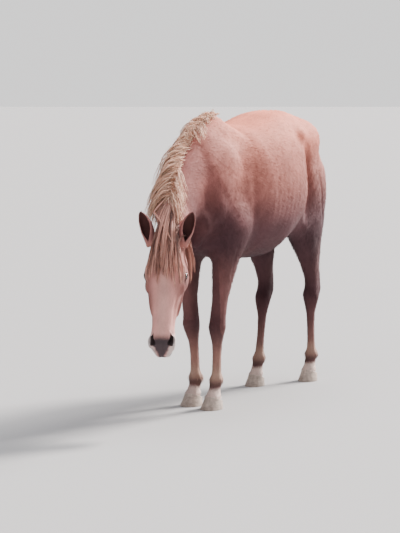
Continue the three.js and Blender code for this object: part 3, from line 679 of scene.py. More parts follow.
def sample(field, grid, to_points):
    """A field on a grid, worked out in full only in the blocks near its surface."""
    xs, ys, zs = grid
    coarse = [c[::BLOCK] for c in grid]
    nodes = np.stack(np.meshgrid(*coarse, indexing="ij"), -1).reshape(-1, 3)
    rough = field(to_points(nodes)).reshape([len(c) for c in coarse])
    sizes = np.meshgrid(*[np.diff(c) for c in coarse], indexing="ij")
    reach = 0.8 * np.sqrt(sum(s**2 for s in sizes))
    m, n, o = (size - 1 for size in rough.shape)
    near = np.min(np.abs([rough[a : a + m, b : b + n, c : c + o] for a, b, c in CORNERS]), axis=0) < reach
    values = by_blocks(rough)[: len(xs), : len(ys), : len(zs)].astype(np.float32)
    wanted = np.zeros(values.shape, bool)
    cells = by_blocks(near)
    m, n, o = cells.shape
    for a, b, c in CORNERS:
        wanted[a : a + m, b : b + n, c : c + o] |= cells
    i, j, k = np.nonzero(wanted)
    for start in range(0, len(i), BATCH):
        part = slice(start, start + BATCH)
        points = np.stack([xs[i[part]], ys[j[part]], zs[k[part]]], -1)
        values[i[part], j[part], k[part]] = field(to_points(points))
    return values


def surface_net(field, grid, to_points=lambda p: p):
    """The surface of a field as quads: one point in each grid cell that it crosses."""
    values = sample(field, grid, to_points)
    shape = np.array(values.shape)
    inside = values < 0
    keys, places, quads, flips = [], [], [], []
    strides = np.array([shape[1] * shape[2], shape[2], 1])
    for axis in range(3):
        low = [slice(None)] * 3
        high = [slice(None)] * 3
        low[axis], high[axis] = slice(0, -1), slice(1, None)
        crossing = inside[tuple(low)] != inside[tuple(high)]
        index = np.stack(np.nonzero(crossing), -1)
        others = [a for a in range(3) if a != axis]
        keep = np.all([(index[:, a] > 0) & (index[:, a] < shape[a] - 1) for a in others], axis=0)
        index = index[keep]
        after = index.copy()
        after[:, axis] += 1
        v0 = values[tuple(index.T)]
        v1 = values[tuple(after.T)]
        share = v0 / (v0 - v1)
        spot = np.stack([grid[a][index[:, a]] for a in range(3)], -1)
        step = grid[axis][after[:, axis]] - grid[axis][index[:, axis]]
        spot[:, axis] += share * step
        ring = []
        for du, dv in ((0, 0), (1, 0), (1, 1), (0, 1)):
            cell = index.copy()
            cell[:, others[0]] -= du
            cell[:, others[1]] -= dv
            ring.append(cell @ strides)
            keys.append(ring[-1])
            places.append(spot)
        quads.append(np.stack(ring, -1))
        flips.append((v0 < 0) ^ (axis == 1))
    keys, places = np.concatenate(keys), np.concatenate(places)
    names, inverse = np.unique(keys, return_inverse=True)
    count = np.bincount(inverse)
    points = np.stack([np.bincount(inverse, places[:, a]) / count for a in range(3)], -1)
    quads, flips = np.concatenate(quads), np.concatenate(flips)
    quads[~flips] = quads[~flips][:, ::-1]
    points, quads = to_points(points), np.searchsorted(names, quads)
    return points, quads if volume(points, quads) > 0 else quads[:, ::-1]


def volume(points, quads):
    """A closed net's volume, below 0 where its faces look inwards."""
    a, b, c, d = (points[quads[:, i]] for i in range(4))
    return np.einsum("ij,ij->", a, np.cross(b, c) + np.cross(c, d)) / 6


def build_mesh(name, points, faces):
    """A smooth mesh object from points in the frame's metres and groups of faces with like numbers of corners."""
    mesh = bpy.data.meshes.new(name)
    points = np.asarray(points, np.float32)
    faces = [np.asarray(f).reshape(len(f), -1) for f in faces]
    sizes = np.concatenate([np.full(len(f), f.shape[1]) for f in faces])
    corners = np.concatenate([f.ravel() for f in faces])
    mesh.vertices.add(len(points))
    mesh.vertices.foreach_set("co", points.ravel())
    mesh.loops.add(len(corners))
    mesh.loops.foreach_set("vertex_index", corners.astype(np.int32))
    mesh.polygons.add(len(sizes))
    starts = np.concatenate([[0], np.cumsum(sizes)[:-1]])
    mesh.polygons.foreach_set("loop_start", starts.astype(np.int32))
    mesh.polygons.foreach_set("loop_total", sizes.astype(np.int32))
    mesh.update(calc_edges=True)
    mesh.validate()
    mesh.polygons.foreach_set("use_smooth", np.ones(len(mesh.polygons), bool))
    obj = bpy.data.objects.new(name, mesh)
    bpy.context.scene.collection.objects.link(obj)
    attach(obj, "root")
    return obj


JOINT = 660  # place along the neck where the body's and the head's nets are joined
BAND = 2.0  # half the width of the strip between them


def joint_side(points):
    """How far a place is ahead of the joint across the neck."""
    ahead = along_neck(points) - JOINT
    return np.where(points[:, 0] > 250, ahead, -FAR)


def cut_net(points, quads, side):
    """A net cut flat near the joint, kept on one side of it. Returns points, faces and the cut's rim."""
    ahead = joint_side(points) * side
    keep = np.any(ahead[quads] < -BAND + 0.01, axis=1)
    quads = quads[keep]
    used, quads = np.unique(quads, return_inverse=True)
    quads = quads.reshape(-1, 4)
    points = points[used]
    bm = bmesh.new()
    verts = [bm.verts.new(p) for p in points]
    for q in quads:
        try:
            bm.faces.new([verts[i] for i in q])
        except ValueError:
            pass
    ahead = joint_side(points) * side
    near = {verts[i] for i in np.nonzero(ahead > -40)[0]}
    geom = [f for f in bm.faces if any(v in near for v in f.verts)]
    geom = geom + list({e for f in geom for e in f.edges}) + list({v for f in geom for v in f.verts})
    normal = side * neck.axes[0]
    spot = np.array(NECK_ROOT) + (JOINT - side * BAND) * neck.axes[0]
    cut = bmesh.ops.bisect_plane(bm, geom=geom, plane_co=spot, plane_no=normal, clear_outer=True)
    rim = {v for e in cut["geom_cut"] if isinstance(e, bmesh.types.BMEdge) for v in e.verts}
    loose = [v for v in bm.verts if not v.link_faces]
    rim -= set(loose)
    bmesh.ops.delete(bm, geom=loose, context="VERTS")
    bm.verts.index_update()
    points = np.array([v.co for v in bm.verts])
    faces = [[v.index for v in f.verts] for f in bm.faces]
    rim = np.array([v.index for v in rim])
    bm.free()
    return points, faces, rim


def around(points, centre):
    q = points - centre
    return np.arctan2(q @ neck.axes[1], q @ neck.axes[2])


def join_nets(body_net, head_net):
    """The two nets as one, with a strip of triangles between their rims."""
    pa, fa, ra = cut_net(*body_net, 1)
    pb, fb, rb = cut_net(*head_net, -1)
    centre = pa[ra].mean(0)
    ra = ra[np.argsort(around(pa[ra], centre))]
    rb = rb[np.argsort(around(pb[rb], centre))]
    angle_a = np.append(around(pa[ra], centre), math.inf)
    angle_b = np.append(around(pb[rb], centre), math.inf)
    base = len(pa)
    i = j = 0
    strip = []
    while i < len(ra) or j < len(rb):
        a, b = ra[i % len(ra)], rb[j % len(rb)] + base
        if angle_a[i] < angle_b[j]:
            strip.append([a, ra[(i + 1) % len(ra)], b])
            i += 1
        else:
            strip.append([a, rb[(j + 1) % len(rb)] + base, b])
            j += 1
    a, b, c = (np.vstack([pa, pb])[np.array(strip)[:, k]] for k in range(3))
    if np.einsum("ij,ij->", np.cross(b - a, c - a), a - centre) < 0:
        strip = [f[::-1] for f in strip]
    faces = fa + [[v + base for v in f] for f in fb] + strip
    sizes = sorted({len(f) for f in faces})
    return np.vstack([pa, pb]), [[f for f in faces if len(f) == size] for size in sizes]


def head_points(local):
    return head.origin + local @ head.axes


body_grid = (
    lines((-1200, -590, 5.5), (-590, -260, 9), (-260, 150, 5.5), (150, 520, 7)),
    lines((-285, 285, 5.5),),
    lines((-12, 700, 5.5), (700, 1460, 8)),
)
head_grid = (
    lines((-240, -140, 6), (-140, 165, 3.2), (165, 228, 1.8), (228, 484, 3.2), (484, 580, 2.2)),
    lines((-262, -110, 3.4), (-110, -62, 2.4), (-62, -12, 1.8), (-12, 130, 3.2)),
    lines((-165, -108, 3.2), (-108, -66, 2), (-66, 66, 3.2), (66, 108, 2), (108, 165, 3.2)),
)

body_net = surface_net(skin, body_grid)
head_net = surface_net(skin, head_grid, head_points)
skin_points, skin_faces = join_nets(body_net, head_net)
skin_points = settle(skin, skin_points, 2, 2.0)
skin_obj = build_mesh("skin", place(skin_points), skin_faces)
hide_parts("trunk", "neck", "head", "ear_left", "ear_right", *LEGS)


# ------------------------------------------------------------------------------------------ unwrap and locks
REGIONS = {"trunk": trunk, "neck": neck, "head": head, **legs}
# Cells of the unwrap: left, bottom, width, height.
CELLS = {
    "trunk": (0.02, 0.02, 0.46, 0.46),
    "neck": (0.52, 0.02, 0.46, 0.32),
    "head": (0.52, 0.38, 0.46, 0.26),
    "foreleg_left": (0.02, 0.52, 0.21, 0.46),
    "foreleg_right": (0.27, 0.52, 0.21, 0.46),
    "hindleg_left": (0.52, 0.68, 0.21, 0.30),
    "hindleg_right": (0.77, 0.68, 0.21, 0.30),
}
PATCH = 0.003  # each tuft's own patch of the unwrap


def region_box(name):
    return BOXES[name] if name in BOXES else leg_box(name)


def unwrap(points):
    """Places on an unwrap of the skin: a region's length runs across its cell, and its girth up it."""
    best = np.full(len(points), 2 * FAR)
    uv = np.full((len(points), 2), 0.5)
    for name, region in REGIONS.items():
        d = of_part(points, region_box(name), lambda p: region.distance(p, fine=False))
        t, v, w = region.to_local(points)
        row = region.track.at(t)
        turn = np.arctan2(w - row[:, 7], v - row[:, 4]) / (2 * math.pi) + 0.5
        places = region.track.places
        share = np.clip((t - places[0]) / (places[-1] - places[0]), 0, 1)
        left, bottom, width, height = CELLS[name]
        nearer = d < best
        uv[nearer] = np.stack([left + width * share, bottom + height * turn], -1)[nearer]
        best = np.minimum(best, d)
    return uv


def paint(obj, colours, name="tint"):
    """A colour at each point of a mesh."""
    layer = obj.data.color_attributes.new(name, "FLOAT_COLOR", "POINT")
    rgba = np.ones((len(obj.data.vertices), 4), np.float32)
    rgba[:, :3] = colours
    layer.data.foreach_set("color", rgba.ravel())


LOCK_SECTION = ((-1.0, -0.35), (1.0, -0.35), (0.0, 0.9))
# painted shade on each lock: its two edges darker than its ridge
LOCK_SHADE = (0.86, 0.86, 1.06)  # the two edges are darker than the ridge


def build_locks(name, paths, across, widths, depths, colours, slot_name, replaced=(), normals=None):
    """Tapered locks of hair in one mesh: each is a closed flat prism along a path of layout points.

    With normals, each lock is shaded as the skin below it, so that short hair reads as one coat.
    """
    count, rings = paths.shape[:2]
    along = unit(np.gradient(paths, axis=1))
    side = unit(across - (across * along).sum(-1, keepdims=True) * along)
    face = np.cross(along, side)
    corners = [
        paths + side * (widths * a)[..., None] + face * (depths * b)[..., None] for a, b in LOCK_SECTION
    ]
    body = np.stack(corners, 2)[:, :-1].reshape(count, -1, 3)
    points = np.concatenate([body, paths[:, -1:]], 1)
    each = points.shape[1]
    base = np.arange(count)[:, None, None] * each
    ring = np.arange(rings - 2)[None, :, None] * 3
    quads = []
    for j in range(3):
        k = (j + 1) % 3
        quads.append(np.stack([ring + j, ring + k, ring + 3 + k, ring + 3 + j], -1)[..., 0, :] + base)
    quads = np.stack(quads, 2).reshape(-1, 4)
    last = 3 * (rings - 2)
    tips = np.array([[last + j, last + (j + 1) % 3, each - 1] for j in range(3)] + [[2, 1, 0]])
    tips = (tips[None] + base).reshape(-1, 3)
    obj = build_mesh(name, place(points.reshape(-1, 3)), [quads, tips])
    shade = np.repeat(colours[:, :-1, None], 3, 2) * np.array(LOCK_SHADE)[None, None, :, None]
    tint = np.concatenate([shade.reshape(count, -1, 3), colours[:, -1:]], 1)
    paint(obj, tint.reshape(-1, 3))
    root = unwrap(paths[:, 0])
    share = np.linspace(-0.5, 0.5, rings)
    u = np.concatenate([np.tile(np.array([-0.5, 0.5, 0.0]), rings - 1), [0.0]])
    v = np.concatenate([np.repeat(share[:-1], 3), [0.5]])
    uv = root[:, None] + PATCH * np.stack([u, v], -1)[None]
    set_uv(obj, uv.reshape(-1, 2))
    if normals is not None:
        shading = np.repeat(place_direction(normals), each, axis=0)
        obj.data.normals_split_custom_set_from_vertices(shading)
    if replaced:
        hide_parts(*replaced)
    return obj


def set_uv(obj, uv):
    """The bake's UV map, from a place for each point."""
    mesh = obj.data
    layer = mesh.uv_layers.new(name="OFBake")
    index = np.empty(len(mesh.loops), np.int32)
    mesh.loops.foreach_get("vertex_index", index)
    layer.data.foreach_set("uv", np.asarray(uv, np.float32)[index].ravel())


EAR_CLEAR = 13  # long hair passes the ears at this distance
ROOT_DEPTH = 3  # and its roots lie this far below the form


def upper_form(points):
    """The trunk, neck and head without their finer relief, for hair to lie on."""
    d = of_part(points, BOXES["trunk"], lambda p: trunk.distance(p, fine=False))
    d = smooth_min(d, of_part(points, BOXES["neck"], lambda p: neck.distance(p, fine=False)), NECK_BLEND)
    d = smooth_min(d, of_part(points, BOXES["head"], lambda p: head.distance(p, fine=False)), HEAD_BLEND)
    for side in (1, -1):
        d = np.minimum(d, near_ear(points, side) - EAR_CLEAR)
    return d


def settled_roots(spots, reach):
    """Places moved onto the form, then a little below it, where long hair starts."""
    spots = settle(upper_form, spots, 4, reach)
    return spots - ROOT_DEPTH * unit(gradient(upper_form, spots)[1])


def hang(roots, first, lengths, rings, pull, clearance):
    """Paths of hair: it leaves its roots along first, bends to its pull and lies on the body at a clearance."""
    paths = [roots]
    direction = unit(first)
    spot = roots
    for k in range(1, rings):
        share = k / (rings - 1)
        direction = unit(direction + pull)
        moved = spot + direction * (lengths / (rings - 1))[:, None]
        value, slope = gradient(upper_form, moved, 1.0)
        wanted = clearance * min(1.0, 3 * share)
        moved = moved + np.maximum(wanted - value, 0)[:, None] * unit(slope)
        direction = unit(moved - spot)
        spot = moved
        paths.append(spot)
    return np.stack(paths, 1)


def strands(guides, chosen, offsets, gather, frizz, rng, wave=2.2):
    """Paths of strands round chosen guides: they start at offsets, gather towards the guide and wave."""
    rings = guides.shape[1]
    share = np.linspace(0, 1, rings)
    paths = guides[chosen] + offsets[:, None] * (1 - gather * share[None, :, None] ** 0.8)
    count = len(chosen)
    for _ in range(2):
        heading = unit(rng.normal(size=(count, 1, 3)))
        phase = rng.uniform(0, 2 * math.pi, (count, 1, 1))
        turns = wave * rng.uniform(0.5, 1.5, (count, 1, 1))
        swing = np.sin(2 * math.pi * turns * share[None, :, None] + phase) - np.sin(phase)
        paths = paths + heading * swing * frizz[:, None, None] * share[None, :, None] ** 0.7
    return paths


def waved(paths, frizz, rng, wave):
    """The same paths, each with a wave of its own."""
    count = len(paths)
    return strands(paths, np.arange(count), np.zeros((count, 3)), 0, frizz, rng, wave)


def taper(rings, root=0.55, tip=0.12, power=1.6):
    """How wide a lock is along its length."""
    share = np.linspace(0, 1, rings)
    return (root + (1 - root) * np.minimum(share * 4, 1)) * (1 - (1 - tip) * share**power)


FLAXEN = np.array([1.0, 0.63, 0.44])
HAIR_SHADE = np.array([0.16, 0.070, 0.060])
HAIR_PINK = np.array([0.68, 0.37, 0.29])
HAIR_ROSE = np.array([0.36, 0.175, 0.155])
HAIR_PEACH = np.array([0.84, 0.42, 0.32])


def hair_colours(count, rings, rng, dark, spread=0.16, pale=FLAXEN, deep=HAIR_PINK):
    """Colours along strands: darker at the root as painted shade deep in the hair, lighter to the tip, and each
    strand of its own tone.
    """
    share = np.linspace(0, 1, rings)[None, :, None]
    tone = rng.normal(0, spread, (count, 1, 1))
    warm = rng.uniform(0, 1, (count, 1, 1)) ** 1.5
    base = pale * (1 - warm * 0.7) + deep * warm * 0.7
    depth = np.clip(dark * (1 - share) ** 1.5, 0, 1)
    return np.clip((base * (1 - depth) + HAIR_SHADE * depth) * np.exp(tone), 0, 1)


def down_axis(rows):
    return np.tile(np.array([0, 0, -1.0]), (rows, 1))


def split_locks(name, limit, paths, across, widths, depths, colours, slot_name, replaced=(), normals=None):
    """Locks in as many pieces as keep each below a number of locks."""
    pieces = []
    parts = math.ceil(len(paths) / limit)
    for i in range(parts):
        part = slice(i, None, parts)
        label = name if parts == 1 else f"{name}_{i + 1}"
        shading = None if normals is None else normals[part]
        arrays = (values[part] for values in (paths, across, widths, depths, colours))
        pieces.append(build_locks(label, *arrays, slot_name, replaced, shading))
    return pieces


LOCK_LIMITS = {"mane": 2900, "forelock": 2400, "tail": 2100}  # locks in a piece


def long_locks(name, paths, across, widths, colours, slot_name):
    """The pieces that stand for a solid of long hair."""
    limit = LOCK_LIMITS[name]
    return split_locks(name + "_hair", limit, paths, across, widths, widths * 0.5, colours, slot_name, (name,))


# ------------------------------------------------------------------------------------------ mane
MANE = dict(start=-26, end=752, guides=300, each=10, rings=12)
# place along the neck, length of the hair, how far it stands off the crest, share that falls to the left
MANE_ROWS = [
    (-26, 30, 10, 0.3),
    (40, 60, 26, 0.2),
    (140, 120, 40, 0.05),
    (280, 180, 46, 0.02),
    (420, 215, 38, 0.02),
    (560, 225, 28, 0.10),
    (650, 140, 16, 0.42),
    (752, 70, 8, 0.5),
]


def make_mane():
    rng = np.random.default_rng(11)
    guide_count, rings = MANE["guides"], MANE["rings"]
    each = MANE["each"]
    track = Track(MANE_ROWS)
    share = np.arange(guide_count) + rng.uniform(0, 1, guide_count)
    t = MANE["start"] + (MANE["end"] - MANE["start"]) * share / guide_count
    _, length, stand, left_share = track.at(t).T
    left = rng.uniform(0, 1, len(t)) < left_share
    side = np.where(left, 1.0, -1.0)
    row = neck.track.at(t)
    across = rng.uniform(-14, 14, len(t)) + side * 3
    roots = settled_roots(neck.to_layout(t, row[:, 1] + 10, row[:, 7] + across), 60)
    lift = stand / 60
    first = (
        neck.axes[1] * (0.7 + 0.9 * lift)[:, None]
        + Y * (side * rng.uniform(0.15, 0.7, len(t)))[:, None]
        + neck.axes[0] * rng.normal(0.55, 0.25, len(t))[:, None]
    )
    length = length * rng.uniform(0.75, 1.15, len(t)) * np.where((side < 0) & (t > 620), 0.8, 1)
    weight = 0.16 + 0.26 * np.clip(length / 240, 0, 1)
    pull = down_axis(len(t)) * (weight * rng.uniform(0.8, 1.3, len(t)))[:, None]
    pull = pull + Y * (side * 0.10)[:, None]
    clearance = 7 + rng.uniform(0, 1, len(t)) ** 1.4 * (0.34 * stand)
    guides = hang(roots, first, length, rings, pull, clearance)
    guides = waved(guides, np.full(len(t), 4.5), rng, 1.0)
    count = guide_count * each
    chosen = rng.integers(0, len(t), count)
    offsets = rng.normal(0, 1, (count, 3)) * np.array([12, 7, 4])
    frizz = np.abs(rng.normal(2.5, 3.0, count))
    paths = strands(guides, chosen, offsets, 0.4, frizz, rng)
    # short hairs that stand up along the crest
    short = count // 5
    pick = rng.integers(0, len(t), short)
    wild = roots[pick] + rng.normal(0, 6, (short, 3)) * np.array([1, 1, 0.4])
    aim = neck.axes[1] + rng.normal(0, 0.35, (short, 3)) + np.array([0, -0.2, 0])
    reach = np.clip(stand[pick] * rng.uniform(0.7, 1.5, short), 14, 74)
    pull = down_axis(short) * rng.uniform(0.01, 0.12, (short, 1))
    upright = hang(wild, aim, reach, rings, pull, np.full(short, 2.0))
    upright = waved(upright, np.full(short, 3.0), rng, 1.6)
    paths = np.concatenate([paths, upright])
    total = len(paths)
    thick = np.concatenate([rng.uniform(1.1, 2.8, count), rng.uniform(0.6, 1.2, short)])
    widths = thick[:, None] * taper(rings)[None]
    across = unit(rng.normal(0, 1, (total, 1, 3)) * 0.5 + neck.axes[0]) * np.ones((1, rings, 1))
    dark = np.concatenate([rng.uniform(0.0, 0.4, count), np.full(short, 0.02)])[:, None, None]
    colours = hair_colours(total, rings, rng, dark)
    rosy = np.concatenate([rise_between(t[chosen], 600, 730), np.zeros(short)])[:, None, None]
    rose = hair_colours(total, rings, rng, dark, 0.3, HAIR_PINK, HAIR_ROSE)
    colours = colours * (1 - rosy) + rose * rosy
    return long_locks("mane", paths, across, widths, colours, "mane_hair")


# ------------------------------------------------------------------------------------------ forelock
def make_forelock():
    rng = np.random.default_rng(23)
    rings, guide_count, each = 14, 76, 14
    spread = np.linspace(-1, 1, guide_count) + rng.normal(0, 0.05, guide_count)
    t = rng.uniform(-70, 20, guide_count)
    row = head.track.at(t)
    roots = settled_roots(head.to_layout(t, row[:, 1] + 8, spread * 40), 40)
    first = head.axes[1] * 0.5 + head.axes[0] * 0.9 + head.axes[2] * (spread * 1.1 + 0.15)[:, None]
    length = rng.uniform(190, 275, guide_count) - t * 0.8 - np.abs(spread) * 14
    pull = down_axis(guide_count) * rng.uniform(0.09, 0.18, (guide_count, 1))
    clearance = 5 + rng.uniform(0, 1, guide_count) * 14 * (1 - 0.3 * np.abs(spread))
    guides = hang(roots, first, length, rings, pull, clearance)
    # locks from the crest of the neck, over the poll and down between the ears
    crest = 56
    lean = np.linspace(-1.3, 1.2, crest) + rng.normal(0, 0.12, crest)
    t = rng.uniform(600, 735, crest)
    row = neck.track.at(t)
    crest_roots = settled_roots(neck.to_layout(t, row[:, 1] + 10, row[:, 7] + lean * 12), 60)
    aim = neck.axes[0] + neck.axes[1] * 0.35 + Y * (lean * 0.42)[:, None]
    pull = down_axis(crest) * rng.uniform(0.08, 0.2, (crest, 1))
    reach = rng.uniform(250, 340, crest) + (735 - t) * 0.8
    crest_guides = hang(crest_roots, aim, reach, rings, pull, 12 + rng.uniform(0, 16, crest))
    # locks that fall behind the left ear, past the cheek
    behind = 12
    t = rng.uniform(-44, -8, behind)
    side_roots = head.to_layout(t, rng.uniform(-46, -14, behind), rng.uniform(64, 86, behind))
    side_roots = settle(upper_form, side_roots, 4, 40)
    aim = head.axes[2] * 0.25 + head.axes[0] * 0.9
    aim = aim + rng.normal(0, 0.07, (behind, 3))
    pull = down_axis(behind) * rng.uniform(0.25, 0.4, (behind, 1))
    side_guides = hang(side_roots, aim, rng.uniform(190, 260, behind), rings, pull, np.full(behind, 8.0))
    # none of the locks in front strays to the outer side of an ear
    guides = np.concatenate([guides, crest_guides])
    place_t, _, place_w = head.to_local(guides.reshape(-1, 3))
    past = (place_t.reshape(-1, rings) < 110) & (np.abs(place_w.reshape(-1, rings)) > 68)
    guides = np.concatenate([guides[~past.any(1)], side_guides])
    total_guides = len(guides)
    guides = waved(guides, np.full(total_guides, 2.5), rng, 1.0)
    count = total_guides * each
    chosen = rng.integers(0, total_guides, count)
    offsets = rng.normal(0, 1, (count, 1)) * 4.5 * head.axes[2] + rng.normal(0, 1, (count, 3)) * 2
    frizz = np.abs(rng.normal(0.8, 1.4, count))
    paths = strands(guides, chosen, offsets, 0.9, frizz, rng, 1.4)
    widths = rng.uniform(0.9, 2.1, count)[:, None] * taper(rings, tip=0.08)[None]
    across = unit(rng.normal(0, 0.3, (count, 1, 3)) + head.axes[2]) * np.ones((1, rings, 1))
    dark = rng.uniform(0.35, 1.0, count)[:, None, None]
    colours = hair_colours(count, rings, rng, dark, 0.15, HAIR_PEACH, HAIR_ROSE)
    tone = np.exp(np.clip(rng.normal(-0.05, 0.42, total_guides), -0.9, 0.3))[chosen]
    colours = np.clip(colours * tone[:, None, None], 0, 1)
    return long_locks("forelock", paths, across, widths, colours, "mane_hair")


# ------------------------------------------------------------------------------------------ tail
# x, y, z, half width, half depth
TAIL = [
    (-1036, 0, 1322, 24, 20),
    (-1098, 0, 1302, 32, 28),
    (-1132, 3, 1256, 40, 36),
    (-1148, 10, 1176, 50, 42),
    (-1154, 22, 1056, 58, 46),
    (-1154, 34, 920, 62, 48),
    (-1150, 46, 780, 60, 46),
    (-1145, 54, 650, 50, 38),
    (-1141, 59, 540, 34, 26),
    (-1138, 61, 450, 18, 14),
]


def tail_at(share):
    """A place along the tail, with its half width and depth, its heading and the way across it."""
    rows = np.array(TAIL, float)
    lengths = np.concatenate([[0], np.cumsum(np.linalg.norm(np.diff(rows[:, :3], axis=0), axis=1))])
    track = Track([(s, *row) for s, row in zip(lengths / lengths[-1], rows)])
    here = track.at(share)[..., 1:]
    before, after = (track.at(np.clip(share + step, 0, 1))[..., 1:4] for step in (-0.01, 0.01))
    heading = unit(after - before)
    side = unit(np.cross(heading, np.cross(Y, heading)))
    return here[..., :3], here[..., 3], here[..., 4], heading, side


def make_tail():
    rng = np.random.default_rng(31)
    rings, clumps, count = 16, 70, 2900
    start = rng.uniform(0, 0.34, count) ** 1.1
    end = np.clip(start + rng.uniform(0.35, 0.85, count), 0, 1)
    end = np.maximum(end, rng.uniform(0.55, 1.0, count))
    angle = rng.uniform(0, 2 * math.pi, count)
    out = np.sqrt(rng.uniform(0.25, 1, count))
    clump = rng.integers(0, clumps, count)
    clump_angle = rng.uniform(0, 2 * math.pi, clumps)
    clump_out = np.sqrt(rng.uniform(0.05, 0.85, clumps))
    ring = np.linspace(0, 1, rings)[None]
    share = start[:, None] + (end - start)[:, None] * ring
    centre, half, deep, heading, side = tail_at(share)
    back = np.cross(heading, side)
    gather = 0.55 * ring
    a, b = (
        turn(angle)[:, None] * out[:, None] * (1 - gather)
        + (turn(clump_angle) * clump_out)[clump][:, None] * gather
        for turn in (np.cos, np.sin)
    )
    phase = clump_angle[clump][:, None] * 3 + rng.normal(0, 0.6, (count, 1))
    wave = 0.2 * np.sin(2 * math.pi * ring * 1.6 + phase) * ring
    paths = centre + side * ((a + wave) * half * 0.94)[..., None] + back * ((b + wave) * deep * 0.94)[..., None]
    jitter = np.abs(rng.normal(1.5, 4.0, count))
    paths = waved(paths, jitter, rng, 2.0)
    widths = rng.uniform(1.2, 3.2, count)[:, None] * taper(rings, tip=0.1)[None]
    dark = rng.uniform(0.3, 1.0, count)[:, None, None]
    colours = hair_colours(count, rings, rng, dark, 0.2, FLAXEN * 0.8, HAIR_ROSE)
    tone = np.exp(rng.normal(-0.05, 0.3, clumps))[clump]
    colours = np.clip(colours * tone[:, None, None], 0, 1)
    return long_locks("tail", paths, side, widths, colours, "tail_hair")


# ------------------------------------------------------------------------------------------ hooves
HOOVES = {
    True: dict(toe=108, heel=-8, inner=25, outer=131, top_toe=66, top_heel=-19, narrow=11),
    False: dict(toe=105, heel=-6, inner=46, outer=146, top_toe=66, top_heel=-16, narrow=10),
}
CORONET = (33, 62)  # height at the heel and at the toe
GROWTH = dict(count=7, height=0.35)


def coronet_height(hoof, forward):
    share = (forward - hoof["top_heel"]) / (hoof["top_toe"] - hoof["top_heel"])
    return CORONET[0] + (CORONET[1] - CORONET[0]) * share


def ringed_faces(rings, around_count):
    """Quads between rings of points, and triangles from the first and last ring to the two points after them."""
    j = np.arange(around_count)
    k = (j + 1) % around_count
    starts = np.arange(rings) * around_count
    quads = [np.stack([a + j, b + j, b + k, a + k], -1) for a, b in zip(starts[:-1], starts[1:])]
    first, last = (np.full_like(j, rings * around_count + i) for i in (0, 1))
    caps = [np.stack([j, k, first], -1), np.stack([starts[-1] + k, starts[-1] + j, last], -1)]
    return np.concatenate(quads), np.concatenate(caps)


def hoof_outline(toe, heel, inner, outer, angle):
    cos, sin = np.cos(angle), np.sin(angle)
    middle = heel + (toe - heel) * 0.42
    reach = np.where(cos > 0, toe - middle, middle - heel)
    power = np.where(cos > 0, 1, 0.7)
    forward = np.sign(cos) * np.abs(cos) ** power
    across = np.sign(sin) * np.abs(sin) ** power
    return middle + reach * forward, (inner + outer) / 2 + (outer - inner) / 2 * across


def make_hoof(name):
    """A hoof's wall from the floor to the coronet, ringed by growth, with a hollow sole."""
    leg, region = LEGS[name], legs[name]
    h = HOOVES[leg["fore"]]
    around_count = 96
    angle = np.linspace(0, 2 * math.pi, around_count, endpoint=False)
    low = hoof_outline(h["toe"], h["heel"], h["inner"], h["outer"], angle)
    narrow = h["narrow"]
    high = hoof_outline(h["top_toe"], h["top_heel"], h["inner"] + narrow, h["outer"] - narrow, angle)
    top = coronet_height(h, high[0])
    centre = np.array([(h["toe"] + h["heel"]) / 2, (h["inner"] + h["outer"]) / 2])
    rings = []
    # rise up the wall, inset from its surface
    steps = [(0, 1.6), (0.012, 0.5)] + [(r, 0) for r in np.linspace(0.04, 0.97, 30)] + [(1.0, 1.5), (1.0, 6)]
    for rise, inset in steps:
        flare = 1 - (1 - rise) ** 1.15
        x = low[0] + (high[0] - low[0]) * flare
        y = low[1] + (high[1] - low[1]) * flare
        growth = GROWTH["height"] * math.sin(2 * math.pi * GROWTH["count"] * rise + 0.6) * (0.05 < rise < 0.95)
        ridge = -inset + growth
        out = unit(np.stack([x - centre[0], y - centre[1]], -1))
        rings.append(np.stack([rise * top, x + out[:, 0] * ridge, y + out[:, 1] * ridge], -1))
    # the sole, hollow inside the wall
    sole = []
    for scale, lift in ((0.9, 0.0), (0.84, 2.5), (0.6, 5.0), (0.3, 6.0)):
        x = centre[0] + (low[0] - centre[0]) * scale
        y = centre[1] + (low[1] - centre[1]) * scale
        sole.append(np.stack([np.full_like(x, lift), x, y], -1))
    rings = sole[::-1] + rings
    points = np.concatenate(rings)
    crown = [top.mean() - 2, high[0].mean(), high[1].mean()]
    points = np.vstack([points, [6.2, centre[0], centre[1]], crown])
    quads, caps = ringed_faces(len(rings), around_count)
    if leg["side"] > 0:
        quads, caps = quads[:, ::-1], caps[:, ::-1]
    spots = region.to_layout(points[:, 0], points[:, 1], points[:, 2])
    piece = name.replace("leg", "hoof")
    obj = build_mesh(piece + "_wall", place(spots), [quads, caps])
    rise = np.clip(points[:, 0] / 60, 0, 1)
    streak = 0.5 + 0.5 * np.sin(np.arctan2(points[:, 2] - centre[1], points[:, 1] - centre[0]) * 9 + rise * 2)
    base = np.array([0.50, 0.41, 0.35])[None] * (0.72 + 0.35 * rise + 0.12 * streak)[:, None]
    paint(obj, base)
    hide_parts(piece)
    return obj


# ------------------------------------------------------------------------------------------ eyes
CORNEA = 0.06  # how far it bulges, as a share of the eye's radius
PUPIL = np.array([0.006, 0.005, 0.006])
IRIS = np.array([0.045, 0.020, 0.011])
EYE_WHITE = np.array([0.03, 0.02, 0.018])  # dark, as little of it shows in a horse's eye


